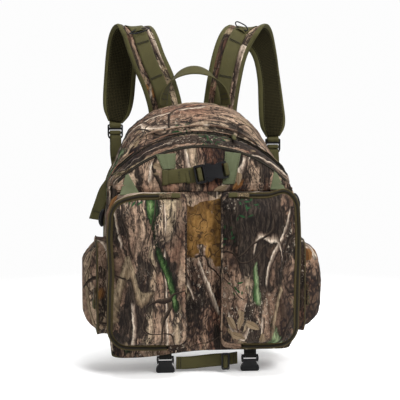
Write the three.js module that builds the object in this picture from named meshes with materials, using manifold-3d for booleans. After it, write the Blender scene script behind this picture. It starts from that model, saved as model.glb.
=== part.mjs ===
// Hunting backpack: a zipped main compartment with a drop-forward organiser flap, two large front
// pockets with a carrying channel between them, two side pockets, padded shoulder straps, a grab
// handle, and webbing with side-release buckles.
// Millimetres. +Z is up, -Y is the front, +Y is the wearer's side. The origin is the middle of the base.
import * as THREE from "three";
import { mergeVertices } from "three/addons/utils/BufferGeometryUtils.js";
import Module from "manifold-3d";

const wasm = await Module();
wasm.setup();

// ---------- driving dimensions ----------
const FABRIC = 3; // coated fabric with its lining and padding
const GAP = 0.4; // clearance kept between separate pieces
const WEB = 25; // webbing width
const WEB_T = 1.6; // webbing thickness

const BAG = { half: 174, top: 454, back: 95, divider: -13, front: -57, spring: 250 };
const SPLIT = 300; // height of the fold line between the fixed front and the organiser flap
const FLAP_GAP = 4.5;
const MAIN_ZIP = { z: 186, r: 210, end: 52, y: -12 }; // arc centre height, radius, half angle
const ORG_ZIP = { z: 157, r: 218, end: 45.3, y: -50 };
const FRONT_POCKET = { inner: 33, outer: 176, low: 10, high: 293, base: 60.4, rim: 84, face: 114 };
const SIDE_POCKET = { front: 52, rear: 64, low: 27, high: 201, base: 174.5, rim: 191 };
const SIDE_FACE = { left: 208, right: 219 }; // how far each side pocket stands out from the middle
const POCKET_WALL = 2.5;
const ZIP_INSET = 9.5; // how far a pocket cover sits inside its gusset on the zipped edges
const HANDLE = { half: 60, low: 445, high: 512, width: 25, y: 84 };
const BUCKLE = { half: 17, thick: 10, socket: 41, frame: 20 };
const BOTTOM_BUCKLE_X = { left: -68, right: 90 };

// ---------- materials ----------
const paint = (color, roughness, metalness = 0) =>
  new THREE.MeshStandardMaterial({ color, roughness, metalness });
const CAMO = paint(0x6b5a4b, 0.85);
const CAMO_DARK = paint(0x4a4038, 0.85);
const OLIVE = paint(0x4f4a30, 0.8);
const SAGE = paint(0x5d6a4c, 0.75);
const MESH_FABRIC = paint(0x26221a, 0.95);
const LINING = paint(0x3a3a2c, 0.9);
const BLACK_PLASTIC = paint(0x15151a, 0.4);
const ZIP_COIL = paint(0x3b311c, 0.7);
const ANTIQUE_BRASS = paint(0x6f5c3a, 0.45, 0.8);
const BOARD = paint(0x202020, 0.6);
const CORD = paint(0x141414, 0.7);

// ---------- small helpers ----------
const V = (x, y, z) => new THREE.Vector3(x, y, z);
const rad = THREE.MathUtils.degToRad;
const lerp = THREE.MathUtils.lerp;
const root = new THREE.Group();

function add(name, geometry, material, parent = root) {
  const mesh = new THREE.Mesh(geometry, material);
  mesh.name = name;
  parent.add(mesh);
  return mesh;
}

// A closed geometry from points and triangles, turned so that its faces point out.
function closedGeometry(points, triangles) {
  let volume = 0;
  for (let i = 0; i < triangles.length; i += 3) {
    const [a, b, c] = [points[triangles[i]], points[triangles[i + 1]], points[triangles[i + 2]]];
    volume += a.dot(b.clone().cross(c));
  }
  if (volume < 0) triangles.reverse();
  const geometry = new THREE.BufferGeometry();
  geometry.setFromPoints(points);
  geometry.setIndex(triangles);
  return geometry;
}

// A sheet of even thickness. rows is a grid of points, and the thickness is laid on the side that
// (along the row) x (to the next row) points away from when thickness is positive. A bias of 0.5
// centres the thickness on the points.
function sheet(rows, thickness, bias = 0) {
  const [n, m] = [rows.length, rows[0].length];
  const normalAt = (i, j) => {
    const along = rows[i][Math.min(j + 1, m - 1)].clone().sub(rows[i][Math.max(j - 1, 0)]);
    const across = rows[Math.min(i + 1, n - 1)][j].clone().sub(rows[Math.max(i - 1, 0)][j]);
    return along.cross(across).normalize();
  };
  const layer = (distance) =>
    rows.flatMap((row, i) =>
      row.map((p, j) => p.clone().addScaledVector(normalAt(i, j), distance)),
    );
  const points = [...layer(thickness * bias), ...layer(thickness * (bias - 1))];
  const at = (side, i, j) => side * n * m + i * m + j;
  const triangles = [];
  const quad = (a, b, c, d) => triangles.push(a, b, c, a, c, d);
  for (let i = 0; i + 1 < n; i++)
    for (let j = 0; j + 1 < m; j++) {
      quad(at(0, i, j), at(0, i, j + 1), at(0, i + 1, j + 1), at(0, i + 1, j));
      quad(at(1, i, j), at(1, i + 1, j), at(1, i + 1, j + 1), at(1, i, j + 1));
    }
  for (let j = 0; j + 1 < m; j++) {
    quad(at(0, 0, j), at(1, 0, j), at(1, 0, j + 1), at(0, 0, j + 1));
    quad(at(0, n - 1, j), at(0, n - 1, j + 1), at(1, n - 1, j + 1), at(1, n - 1, j));
  }
  for (let i = 0; i + 1 < n; i++) {
    quad(at(0, i, 0), at(0, i + 1, 0), at(1, i + 1, 0), at(1, i, 0));
    quad(at(0, i, m - 1), at(1, i, m - 1), at(1, i + 1, m - 1), at(0, i + 1, m - 1));
  }
  return closedGeometry(points, triangles);
}

// A flat strap along stations of { at, side }, where side is half the width as a vector.
function ribbon(stations, thickness, columns = 1, bias = 0) {
  const rows = stations.map(({ at, side }) =>
    Array.from({ length: columns + 1 }, (_, j) =>
      at.clone().addScaledVector(side, (2 * j) / columns - 1),
    ),
  );
  return sheet(rows, thickness, bias);
}

// A shell like a dish: rings of equal length from the rim inwards, closed by a fan at each end.
function dish(outer, inner) {
  const count = outer[0].length;
  const rings = [...outer, ...inner.slice().reverse()];
  const points = rings.flat();
  const triangles = [];
  const last = outer.length - 1;
  for (let k = 0; k < rings.length; k++) {
    if (k === last) continue;
    const next = (k + 1) % rings.length;
    for (let j = 0; j < count; j++) {
      const [a, b] = [k * count + j, k * count + ((j + 1) % count)];
      const [c, d] = [next * count + ((j + 1) % count), next * count + j];
      triangles.push(a, b, c, a, c, d);
    }
  }
  const cap = (ring, flipped) => {
    const centre = new THREE.Vector3();
    rings[ring].forEach((p) => centre.addScaledVector(p, 1 / count));
    points.push(centre);
    for (let j = 0; j < count; j++) {
      const pair = [ring * count + j, ring * count + ((j + 1) % count)];
      triangles.push(...(flipped ? pair.reverse() : pair), points.length - 1);
    }
  };
  cap(last, false);
  cap(last + 1, true);
  return closedGeometry(points, triangles);
}

// The outline of a rectangle with its own radius at each corner, anticlockwise from the low left.
function roundedRect(x0, x1, y0, y1, radii, steps = 5) {
  const centres = [
    [x0 + radii[0], y0 + radii[0], 180],
    [x1 - radii[1], y0 + radii[1], 270],
    [x1 - radii[2], y1 - radii[2], 0],
    [x0 + radii[3], y1 - radii[3], 90],
  ];
  return centres.flatMap(([cx, cy, start], k) =>
    Array.from({ length: steps + 1 }, (_, i) => {
      const a = rad(start + (90 * i) / steps);
      return new THREE.Vector2(cx + radii[k] * Math.cos(a), cy + radii[k] * Math.sin(a));
    }),
  );
}

// A plate whose outline lies in X and Z, from y0 (nearer the front) to y1.
function plate(outline, y0, y1, holes = []) {
  const shape = new THREE.Shape(outline);
  shape.holes = holes.map((h) => new THREE.Path(h));
  const geometry = new THREE.ExtrudeGeometry(shape, { depth: y1 - y0, bevelEnabled: false });
  return geometry.rotateX(Math.PI / 2).translate(0, y1, 0);
}

function box(x, y, z, cx = 0, cy = 0, cz = 0) {
  return new THREE.BoxGeometry(x, y, z).translate(cx, cy, cz);
}

function toSolid(geometry) {
  const bare = geometry.clone();
  bare.deleteAttribute("normal");
  bare.deleteAttribute("uv");
  const merged = mergeVertices(bare, 1e-4);
  return new wasm.Manifold(
    new wasm.Mesh({
      numProp: 3,
      vertProperties: merged.attributes.position.array,
      triVerts: new Uint32Array(merged.index.array),
    }),
  );
}

function toGeometry(solid) {
  const mesh = solid.getMesh();
  const geometry = new THREE.BufferGeometry();
  geometry.setAttribute("position", new THREE.BufferAttribute(mesh.vertProperties, 3));
  geometry.setIndex(new THREE.BufferAttribute(mesh.triVerts, 1));
  return geometry;
}

// The first geometries joined, with the second list cut away.
function carve(solids, cuts = []) {
  let made = solids.map(toSolid).reduce((a, b) => a.add(b));
  for (const c of cuts) made = made.subtract(toSolid(c));
  return toGeometry(made);
}

// Points spaced evenly along a polyline.
function resample(points, count) {
  const lengths = [0];
  for (let i = 1; i < points.length; i++)
    lengths.push(lengths[i - 1] + points[i].distanceTo(points[i - 1]));
  return Array.from({ length: count }, (_, k) => {
    const target = (lengths.at(-1) * k) / (count - 1);
    const i = Math.max(1, lengths.findIndex((l) => l >= target - 1e-9));
    const share = (target - lengths[i - 1]) / (lengths[i] - lengths[i - 1]);
    return points[i - 1].clone().lerp(points[i], share);
  });
}

// ---------- bag outlines, in X and Z ----------
const ARCH_STEPS = 28;
const ARCH_POWER = 2.05;
const SHOULDER = 0.06; // how far the arch draws in halfway up, as a share of its width

function sideX(z) {
  return BAG.half - 6 * ((z - 160) / 157) ** 2;
}

// The back of the bag above the split: part of a superellipse.
function backArch() {
  const rise = BAG.top - BAG.spring;
  const low = (SPLIT - BAG.spring) / rise;
  const start = Math.asin(low ** (ARCH_POWER / 2));
  const points = [];
  for (let i = 0; i <= 60; i++) {
    const a = lerp(start, Math.PI - start, i / 60);
    const c = Math.cos(a);
    const x = -Math.sign(c) * BAG.half * Math.abs(c) ** (2 / ARCH_POWER);
    const z = BAG.spring + rise * Math.sin(a) ** (2 / ARCH_POWER);
    const draw = Math.sin((Math.PI * (z - SPLIT)) / (BAG.top - SPLIT)) ** 2;
    points.push(new THREE.Vector2(x * (1 - SHOULDER * draw), z));
  }
  return resample(points, ARCH_STEPS + 1);
}

// A circular zip line that drops to the split at both ends.
function zipArch(zip, halfAtSplit, low = SPLIT) {
  const points = [new THREE.Vector2(-halfAtSplit, low)];
  for (let a = -zip.end; a <= zip.end + 1e-6; a += zip.end / 20)
    points.push(new THREE.Vector2(zip.r * Math.sin(rad(a)), zip.z + zip.r * Math.cos(rad(a))));
  points.push(new THREE.Vector2(halfAtSplit, low));
  return resample(points, ARCH_STEPS + 1);
}

const REAR = backArch();
const FRONT = zipArch(MAIN_ZIP, 168);

// The arch at a share of the way from the back to the main zip, with its top scaled by squeeze.
function archBetween(share, squeeze = 1) {
  return REAR.map((p, i) => {
    const q = p.clone().lerp(FRONT[i], share);
    return new THREE.Vector2(q.x, SPLIT + (q.y - SPLIT) * squeeze);
  });
}

const at3 = (outline, y) => outline.map((p) => V(p.x, y, p.y));

// ---------- main bag ----------
const SIDE_LEVELS = [FABRIC + GAP, 75, 150, 225, SPLIT - 2];
// Stations from back to front: y above the split, y below it, share towards the zip, squeeze.
const GUSSET_STATIONS = [
  [BAG.back - 0.3, BAG.back - 0.3, 0, 0.945],
  [75, 60, 0, 1],
  [45, 20, 0.1, 1],
  [15, -10, 0.6, 1],
  [-2.5, -35, 1, 1],
  [MAIN_ZIP.y, BAG.front, 1, 1],
];

function mainGusset() {
  const rows = GUSSET_STATIONS.map(([yHigh, yLow, share, squeeze]) => {
    const left = SIDE_LEVELS.map((z) => V(-sideX(z), yLow, z));
    const right = SIDE_LEVELS.map((z) => V(sideX(z), yLow, z)).reverse();
    return [...left, ...at3(archBetween(share, squeeze), yHigh), ...right];
  });
  return sheet(rows, -FABRIC);
}

// The whole outline of the back, with its low corners.
function backOutline(squeeze, inset = 0) {
  const low = inset + 0.5;
  const left = SIDE_LEVELS.map((z) => new THREE.Vector2(-sideX(z) + inset, Math.max(z, low)));
  const right = left.map((p) => new THREE.Vector2(-p.x, p.y)).reverse();
  const arch = archBetween(0, squeeze).map(
    (p) => new THREE.Vector2(p.x * (1 - inset / BAG.half), p.y - inset),
  );
  return [...left, ...arch, ...right];
}

add("main_gusset", mainGusset(), CAMO);
add("back_panel", plate(backOutline(0.945), BAG.back + 0.2, BAG.back + FABRIC), OLIVE);
add("frame_sheet", plate(backOutline(0.945, 18), 91, 93), BOARD);
add(
  "back_pad",
  plate(roundedRect(-138, 138, 22, 400, [30, 30, 50, 50]), BAG.back + FABRIC + GAP, 112),
  MESH_FABRIC,
);
const bottomOutline = roundedRect(-165, 165, BAG.front, BAG.back - 0.3, [22, 22, 22, 22]);
add(
  "bottom_panel",
  new THREE.ExtrudeGeometry(new THREE.Shape(bottomOutline), { depth: FABRIC, bevelEnabled: false }),
  CAMO_DARK,
);
add(
  "front_panel",
  plate(roundedRect(-166, 166, 1, SPLIT, [20, 20, 2, 2], 3), BAG.front - FABRIC, BAG.front - 0.3),
  CAMO,
);
add("divider", plate(roundedRect(-160, 160, 4, SPLIT - 1, [15, 15, 2, 2], 3), -15, -13), LINING);

// ---------- organiser flap ----------
const FLAP_LOW = SPLIT + FLAP_GAP;
const FLAP_BACK = zipArch({ ...MAIN_ZIP, r: MAIN_ZIP.r - 0.8 }, 167, FLAP_LOW);
const FLAP_FRONT = zipArch(ORG_ZIP, 156, FLAP_LOW + 3);

function organiserGusset() {
  const middle = FLAP_BACK.map((p, i) => p.clone().lerp(FLAP_FRONT[i], 0.55));
  const front = FLAP_FRONT.map((p) => V(p.x, panelY(p.x, p.y) + 4.2, p.y));
  return sheet(
    [at3(FLAP_BACK, -15.5), at3(middle, -28), at3(FLAP_FRONT, -40.5), front],
    -FABRIC,
  );
}

const PANEL_FOOT_Y = -62;
const PANEL_TOP_Y = ORG_ZIP.y - 2.8;

// The front of the organiser: ruled from its foot, just above the front pockets, to the zip arc.
function upperFrontPanel() {
  const foot = FLAP_FRONT.map((p) => V(p.x, PANEL_FOOT_Y, FLAP_LOW));
  const head = FLAP_FRONT.map((p) => V(p.x, PANEL_TOP_Y, p.y));
  const rows = [0, 0.5, 1].map((share) => foot.map((p, i) => p.clone().lerp(head[i], share)));
  return sheet(rows, FABRIC - 1);
}

// The outside of the upper front panel at x and z.
function panelY(x, z) {
  const head = ORG_ZIP.z + Math.sqrt(ORG_ZIP.r ** 2 - x ** 2);
  return lerp(PANEL_FOOT_Y, PANEL_TOP_Y, (z - FLAP_LOW) / (head - FLAP_LOW));
}

add("organiser_gusset", organiserGusset(), CAMO);
add("upper_front_panel", upperFrontPanel(), CAMO);
const linerOutline = FLAP_BACK.map(
  (p) => new THREE.Vector2(p.x * 0.93, lerp(FLAP_LOW + 1, p.y, 0.9)),
);
add("flap_liner", plate(linerOutline, -18, -16), LINING);

// ---------- zips along arcs ----------
function arcZip(zip, from, to) {
  const stations = [];
  for (let i = 0; i <= 24; i++) {
    const a = rad(lerp(-zip.end + 1, zip.end - 1, i / 24));
    const r = zip.r + GAP + 1.5;
    stations.push({
      at: V(r * Math.sin(a), (from + to) / 2, zip.z + r * Math.cos(a)),
      side: V(0, (to - from) / 2, 0),
    });
  }
  return ribbon(stations, -1.5);
}

add("main_zip", arcZip(MAIN_ZIP, -12.5, -3.5), ZIP_COIL);
add("organiser_zip", arcZip(ORG_ZIP, -50, -41.5), ZIP_COIL);

// ---------- zip sliders and pulls ----------
// Built with the travel along X, the tape below at z = 0 and the outside towards +Z.
// A turned bridge lets the pull hang across the tape.
function sliderGeometry(turned = false) {
  const bridge = box(turned ? 7.6 : 9, 3, 2.6, 0, 0, 4.1);
  const window = box(5, 4, 1.5, 0, 0, 4);
  if (turned) [bridge, window].forEach((g) => g.rotateZ(Math.PI / 2));
  return carve([box(12, 8, 1.4, 0, 0, 2.3), bridge], [window]);
}

// A cast pull whose end bar turns in the slider's bridge. It runs along +X from that bar.
function pullGeometry(length) {
  return carve([
    box(0.9, 6.6, 0.9),
    box(6, 1.3, 0.9, 2.6, 2.65, 0),
    box(6, 1.3, 0.9, 2.6, -2.65, 0),
    box(length - 5.2, 6.6, 0.9, (length + 5.2) / 2, 0, 0),
    box(length - 7, 6, 1.9, (length + 7) / 2, 0, 0.5),
  ]);
}

// Places a slider so that its tape side faces away from out and its travel runs along travel.
function place(mesh, position, travel, out) {
  const z = out.clone().normalize();
  const y = z.clone().cross(travel).normalize();
  mesh.position.copy(position);
  mesh.quaternion.setFromRotationMatrix(new THREE.Matrix4().makeBasis(y.clone().cross(z), y, z));
  return mesh;
}

const PULL_LIFT = 4; // hinge height of a pull above the tape

function addSlider(name, position, travel, out, pullAlong, pullLength = 20) {
  const turned = Math.abs(pullAlong.dot(travel)) < 0.5;
  place(add(`${name}_slider`, sliderGeometry(turned), ANTIQUE_BRASS), position, travel, out);
  const hinge = position.clone().addScaledVector(out.clone().normalize(), PULL_LIFT);
  place(add(`${name}_pull`, pullGeometry(pullLength), ANTIQUE_BRASS), hinge, pullAlong, out);
}

function arcPoint(zip, degrees, lift, y) {
  const a = rad(degrees);
  const r = zip.r + lift;
  return V(r * Math.sin(a), y, zip.z + r * Math.cos(a));
}

const MAIN_SLIDER = 16.5;
const ORG_SLIDER = -38;
for (const [name, zip, degrees, y, length] of [
  ["main", MAIN_ZIP, MAIN_SLIDER, -9.5, 12],
  ["organiser", ORG_ZIP, ORG_SLIDER, -46, 18],
]) {
  const a = rad(degrees);
  const out = V(Math.sin(a), 0, Math.cos(a));
  const travel = V(Math.cos(a), 0, -Math.sin(a));
  const along = name === "main" ? V(0, -1, 0) : travel.clone().negate();
  addSlider(name, arcPoint(zip, degrees, 0.7, y), travel, out, along, length);
}

// ---------- pockets: built in X (across), Y (up) and Z (out), then turned to face out ----------
const facing = (turn) => {
  const group = new THREE.Group();
  group.rotation.set(Math.PI / 2, 0, turn, "ZYX");
  root.add(group);
  return group;
};

function ringGusset(outline, inner, low, high) {
  const shape = new THREE.Shape(outline);
  shape.holes = [new THREE.Path(inner)];
  const geometry = new THREE.ExtrudeGeometry(shape, { depth: high - low, bevelEnabled: false });
  return geometry.translate(0, 0, low);
}

// Rings of a domed cover: inset and height pairs, from the rim up.
function coverGeometry(rect, radii, rim, face) {
  const depth = face - rim;
  const profile = [
    [0, 0],
    [0, 0.35],
    [3, 0.68],
    [11, 0.9],
    [26, 1],
  ];
  const rings = (shrink) =>
    profile.map(([inset, share]) => {
      const d = inset + shrink;
      const r = radii.map((value) => Math.max(3, value - d));
      const outline = roundedRect(rect[0] + d, rect[1] - d, rect[2] + d, rect[3] - d, r);
      const height = rim + share * (depth - shrink);
      return outline.map((p) => V(p.x, p.y, height));
    });
  return dish(rings(0), rings(POCKET_WALL));
}

// A zip tape that slopes from a gusset's edge in to its cover, along part of an outline.
function edgeZip(outline, centre, rim, start, end) {
  const line = resample(
    outline.slice(start, end).map((p) => V(p.x, p.y, rim)),
    28,
  );
  const stations = line.map((p, i) => {
    const next = line[Math.min(i + 1, line.length - 1)];
    const along = next.clone().sub(line[Math.max(i - 1, 0)]).normalize();
    const inward = V(-along.y, along.x, 0);
    if (inward.dot(centre.clone().sub(p)) < 0) inward.negate();
    const at = p.clone().addScaledVector(inward, 4.4).add(V(0, 0, 2.3));
    return { at, side: inward.multiplyScalar(3.9).add(V(0, 0, 1.1)) };
  });
  return ribbon(stations, 1.4);
}

const FRONT_RADII = { zipped: 38, inner: 12 };

function frontPocket(side) {
  const p = FRONT_POCKET;
  const name = side < 0 ? "left" : "right";
  const group = facing(0);
  // Corner order: low left, low right, high right, high left.
  const { zipped, inner } = FRONT_RADII;
  const radii = side < 0 ? [zipped, inner, inner, zipped] : [inner, zipped, zipped, inner];
  const [x0, x1] = side < 0 ? [-p.outer, -p.inner] : [p.inner, p.outer];
  const outline = roundedRect(x0, x1, p.low, p.high, radii);
  const w = POCKET_WALL;
  const hole = roundedRect(x0 + w, x1 - w, p.low + w, p.high - w, radii.map((r) => r - w));
  add(`${name}_pocket_gusset`, ringGusset(outline, hole, p.base, p.rim), CAMO, group);
  const rect = [x0, x1, p.low + ZIP_INSET, p.high - ZIP_INSET];
  rect[side < 0 ? 0 : 1] -= side * ZIP_INSET;
  const coverRadii = radii.map((r) => Math.max(8, r - ZIP_INSET));
  add(`${name}_pocket_cover`, coverGeometry(rect, coverRadii, p.rim + 0.6, p.face), CAMO, group);
  // The tape runs over the top, down the outer side and back along the bottom.
  const inner0 = 70;
  const stop = 60;
  const path =
    side < 0
      ? [
          new THREE.Vector2(-inner0, p.high),
          ...outline.slice(18),
          ...outline.slice(0, 6),
          new THREE.Vector2(-stop, p.low),
        ]
      : [
          new THREE.Vector2(stop, p.low),
          ...outline.slice(6, 18),
          new THREE.Vector2(inner0, p.high),
        ];
  const centre = V((x0 + x1) / 2, (p.low + p.high) / 2, p.rim);
  add(`${name}_front_zip`, edgeZip(path, centre, p.rim, 0, path.length), ZIP_COIL, group);
  const start = V(side * 76, -(p.rim + 3.6), p.high - 4.6);
  addSlider(`${name}_front`, start, V(side, 0, 0), V(0, -1, 0.28), V(-side, 0, 0), 22);
}

const SIDE_RADII = [26, 26, 30, 30];

function sidePocket(side) {
  const p = SIDE_POCKET;
  const name = side < 0 ? "left" : "right";
  const group = facing((side * Math.PI) / 2);
  // Across runs towards -Y on the left side and towards +Y on the right.
  const [x0, x1] = side < 0 ? [-p.rear, p.front] : [-p.front, p.rear];
  const outline = roundedRect(x0, x1, p.low, p.high, SIDE_RADII);
  const w = POCKET_WALL;
  const hole = roundedRect(x0 + w, x1 - w, p.low + w, p.high - w, SIDE_RADII.map((r) => r - w));
  add(`${name}_side_gusset`, ringGusset(outline, hole, p.base, p.rim), CAMO, group);
  const rect = [x0, x1, p.low + ZIP_INSET, p.high - ZIP_INSET];
  rect[side < 0 ? 1 : 0] += side * ZIP_INSET;
  const coverRadii = SIDE_RADII.map((r) => r - ZIP_INSET);
  const face = SIDE_FACE[name];
  add(`${name}_side_cover`, coverGeometry(rect, coverRadii, p.rim + 0.6, face), CAMO, group);
  const path =
    side < 0
      ? [new THREE.Vector2(0, p.low), ...outline.slice(6, 18), new THREE.Vector2(0, p.high)]
      : [
          new THREE.Vector2(0, p.high),
          ...outline.slice(18),
          ...outline.slice(0, 6),
          new THREE.Vector2(0, p.low),
        ];
  const centre = V((x0 + x1) / 2, (p.low + p.high) / 2, p.rim);
  add(`${name}_side_zip`, edgeZip(path, centre, p.rim, 0, path.length), ZIP_COIL, group);
  const start = V(side * (p.rim + 3.6), -(p.front - 4.4), 112);
  addSlider(`${name}_side`, start, V(0, 0, 1), V(side, -0.28, 0), V(0, 0, -1), 22);
}

for (const side of [-1, 1]) {
  frontPocket(side);
  sidePocket(side);
}

// ---------- grab handle ----------
// A band of webbing on edge at both feet, turning its outside up as it passes over the top.
function grabHandle() {
  const { half, low, high, width, y } = HANDLE;
  const stations = [];
  for (let i = 0; i <= 24; i++) {
    const a = Math.PI * (1 - i / 24);
    const turn = rad(130 - 75 * Math.sin(a) ** 2);
    const radial = V(Math.cos(a), 0, Math.sin(a));
    stations.push({
      at: V(half * Math.cos(a), y, low + (high - low) * Math.sin(a)),
      side: radial.multiplyScalar(Math.cos(turn)).add(V(0, Math.sin(turn), 0)).setLength(width / 2),
    });
  }
  return ribbon(stations, 1.8);
}

add("grab_handle", grabHandle(), OLIVE);

// ---------- shoulder straps ----------
const PAD_T = 9;
// Outer face from the back seam, over the crest and down to the ladder lock: x, y, z, half width.
const STRAP_LINES = {
  left: [
    [52, 107, 412, 33], [55, 107, 445, 33], [68, 109, 490, 33], [85, 114, 530, 33],
    [97, 124, 566, 33], [105, 139, 588, 32], [115, 157, 592, 32], [126, 171, 575, 32],
    [132, 179, 545, 32], [136, 181, 500, 32], [140, 177, 455, 31], [144, 171, 428, 26],
    [148, 168, 408, 14],
  ],
  right: [
    [50, 107, 412, 33], [53, 107, 445, 33], [60, 108, 490, 33], [70, 112, 535, 33],
    [83, 121, 568, 33], [99, 137, 588, 32], [117, 156, 590, 32], [134, 171, 572, 32],
    [146, 179, 540, 32], [154, 182, 495, 32], [159, 180, 445, 32], [163, 174, 402, 27],
    [164, 171, 378, 14],
  ],
};
// How far the outer edge drops and leans back along the strap, as a slope.
const STRAP_ROLL = [0, -0.1, -0.2, -0.2, -0.14, -0.06, 0, 0, 0, 0, 0, 0, 0];
// How far the outer edge swings back from the bag along the strap, as a slope.
const STRAP_YAW = {
  left: [0, 0, 0, 0, 0, 0, 0.08, 0.22, 0.3, 0.3, 0.25, 0.08, 0],
  right: [0, 0, 0, 0, 0, 0, 0.06, 0.36, 0.7, 0.8, 0.6, 0.25, 0],
};

function strapStations(line, scale, from, to, count) {
  const yaw = line === STRAP_LINES.left ? STRAP_YAW.left : STRAP_YAW.right;
  const centre = new THREE.CatmullRomCurve3(line.map(([x, y, z]) => V(x, y, z)));
  const sides = new THREE.CatmullRomCurve3(
    line.map(([, , , half], i) => V(1, yaw[i], STRAP_ROLL[i]).setLength(half)),
  );
  return Array.from({ length: count }, (_, i) => {
    const t = lerp(from, to, i / (count - 1));
    const along = centre.getTangent(t);
    const side = sides.getPoint(t);
    const half = side.length();
    side.addScaledVector(along, -side.dot(along)).setLength(half * scale);
    return { at: centre.getPoint(t), side };
  });
}

// Mirrors stations for the other side, keeping the ribbon's own facing.
function onSide(stations, side) {
  return stations.map(({ at, side: half }) => ({
    at: V(side * at.x, at.y, at.z),
    side: V(half.x, side * half.y, side * half.z),
  }));
}

// Moves stations off their surface, towards the outside of the strap's loop.
function lifted(stations, distance) {
  return stations.map((s, i) => {
    const next = stations[Math.min(i + 1, stations.length - 1)].at;
    const along = next.clone().sub(stations[Math.max(i - 1, 0)].at);
    const normal = s.side.clone().cross(along).normalize();
    return { at: s.at.clone().addScaledVector(normal, distance), side: s.side.clone() };
  });
}

// An elastic cord loop that lies or stands on a strap, from its half width and its rise.
function cordLoop(half, rise) {
  const points = Array.from({ length: 16 }, (_, i) => {
    const a = (2 * Math.PI * i) / 16;
    return half
      .clone()
      .multiplyScalar(Math.cos(a))
      .addScaledVector(rise, 0.5 + 0.5 * Math.sin(a));
  });
  const curve = new THREE.CatmullRomCurve3(points, true);
  return new THREE.TubeGeometry(curve, 20, 1.1, 5, true);
}

// A ladder lock: hung from its top bar, with the lower webbing laced through the two lower slots.
function ladderLock() {
  return carve(
    [plate(roundedRect(-15, 15, -30, 0, [9, 9, 3, 3], 3), -2.6, 2.6)],
    [
      box(24, 8, 4.2, 0, 0, -4.6),
      box(24, 8, 3.6, 0, 0, -12.4),
      box(24, 8, 4.4, 0, 0, -21),
      box(40, 4, 30, 0, -4.2, -36),
    ],
  );
}

function shoulderStrap(side) {
  const name = side < 0 ? "left" : "right";
  const line = STRAP_LINES[name];
  const pad = onSide(strapStations(line, 1, 0, 1, 30), side);
  add(`${name}_strap_pad`, ribbon(pad, PAD_T, 4), MESH_FABRIC);
  const daisy = strapStations(line, 1, 0.05, 0.88, 26);
  daisy.forEach((s) => s.side.setLength(14));
  const webbing = lifted(onSide(daisy, side), 1.3 + 1.4);
  add(`${name}_strap_webbing`, ribbon(webbing, 1.4, 2), OLIVE);
  // The cord loop: flat on the left strap, standing up on the right one.
  const [perch, beyond] = lifted(onSide(strapStations(line, 1, 0.4, 0.42, 2), side), 5.6);
  const half = perch.side.clone().setLength(side < 0 ? 20 : 17);
  const rise = side < 0 ? perch.at.clone().sub(beyond.at).setLength(8) : V(0, 3, 19);
  add(`${name}_cord_loop`, cordLoop(half, rise), CORD).position.copy(perch.at);
  const [x, y, z] = line.at(-1);
  const lock = add(`${name}_ladder_lock`, ladderLock(), BLACK_PLASTIC);
  lock.position.set(side * x, y - 4, z - 3.2);
  // The lower webbing rises behind the pack from the low corner of the back panel.
  const top = z - 3.2 - 57;
  const curve = new THREE.CatmullRomCurve3([
    V(side * 151, 100, 34),
    V(side * 151, 120, 110),
    V(side * 150, 148, 210),
    V(side * (x - 4), y - 8, top - 50),
    V(side * x, y - 5, top),
  ]);
  const stations = Array.from({ length: 14 }, (_, i) => ({
    at: curve.getPoint(i / 13),
    side: V(10.5, 0, 0),
  }));
  add(`${name}_lower_webbing`, ribbon(stations, 1.5), OLIVE);
}

for (const side of [-1, 1]) shoulderStrap(side);

// ---------- side-release buckle ----------
// Built with the strap's pull along X, the width along Y and the outside towards +Z. The mouth of
// the socket is at x = 0, the socket runs towards +X and the plug's frame towards -X.
function hullPlate(points, low, high) {
  const shape = new THREE.Shape(points.map(([x, y]) => new THREE.Vector2(x, y)));
  const geometry = new THREE.ExtrudeGeometry(shape, { depth: high - low, bevelEnabled: false });
  return geometry.translate(0, 0, low);
}

const mirrorY = (points) => [...points, ...points.map(([x, y]) => [x, -y]).reverse()];

function socketGeometry(bar) {
  const outline = mirrorY([
    [0, 14.5], [1.5, 17], [6, 17.2], [11, 15.5], [14, 12.4], [19, 12.2], [bar - 13, 15], [bar - 6, 16],
    [bar + 1.4, 15.6],
  ]);
  return carve(
    [
      hullPlate(outline, -5, 5),
    ],
    [
      box(27, 26, 6.2, 10.5, 0, 0),
      box(6.4, 25, 12, bar - 5.2 + 0.2, 0, 0),
      box(8, 40, 8, bar + 1.4, 0, 5.6),
      box(8, 40, 8, bar + 1.4, 0, -5.6),
    ],
  );
}

function plugGeometry() {
  const f = BUCKLE.frame;
  return carve(
    [
      hullPlate(mirrorY([[-f, 15], [-f + 2, 17], [-2, 17], [-0.4, 15]]), -4.5, 4.5),
      box(24, 3.4, 4.6, 11, 8.6, 0),
      box(24, 3.4, 4.6, 11, -8.6, 0),
      box(7, 5.6, 4.6, 17.5, 9.7, 0),
      box(7, 5.6, 4.6, 17.5, -9.7, 0),
      box(18, 5, 4.6, 8, 0, 0),
    ],
    [
      box(5.5, 27, 12, -f + 5.25, 0, 0),
      box(5, 27, 12, -6.5, 0, 0),
      box(3.4, 27, 4, -f + 9.5, 0, 4.1),
    ],
  );
}

// A webbing fold seen from its edge: points in X and Z of the buckle's frame.
function fold(points, width, thickness) {
  const curve = new THREE.CatmullRomCurve3(points.map(([x, z]) => V(x, 0, z)));
  const stations = Array.from({ length: points.length * 3 }, (_, i) => ({
    at: curve.getPoint(i / (points.length * 3 - 1)),
    side: V(0, width / 2, 0),
  }));
  return ribbon(stations, thickness, 1, 0.5);
}

const LEAN = rad(10); // the front buckle tilts up to the right
const SEAT = V(4.5, 0, 327.5);
SEAT.y = panelY(SEAT.x, SEAT.z) - 9.2;
const BUCKLE_OUT = V(0, -1, 0.136);
const BUCKLE_TRAVEL = V(Math.cos(LEAN), 0, Math.sin(LEAN));

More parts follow.
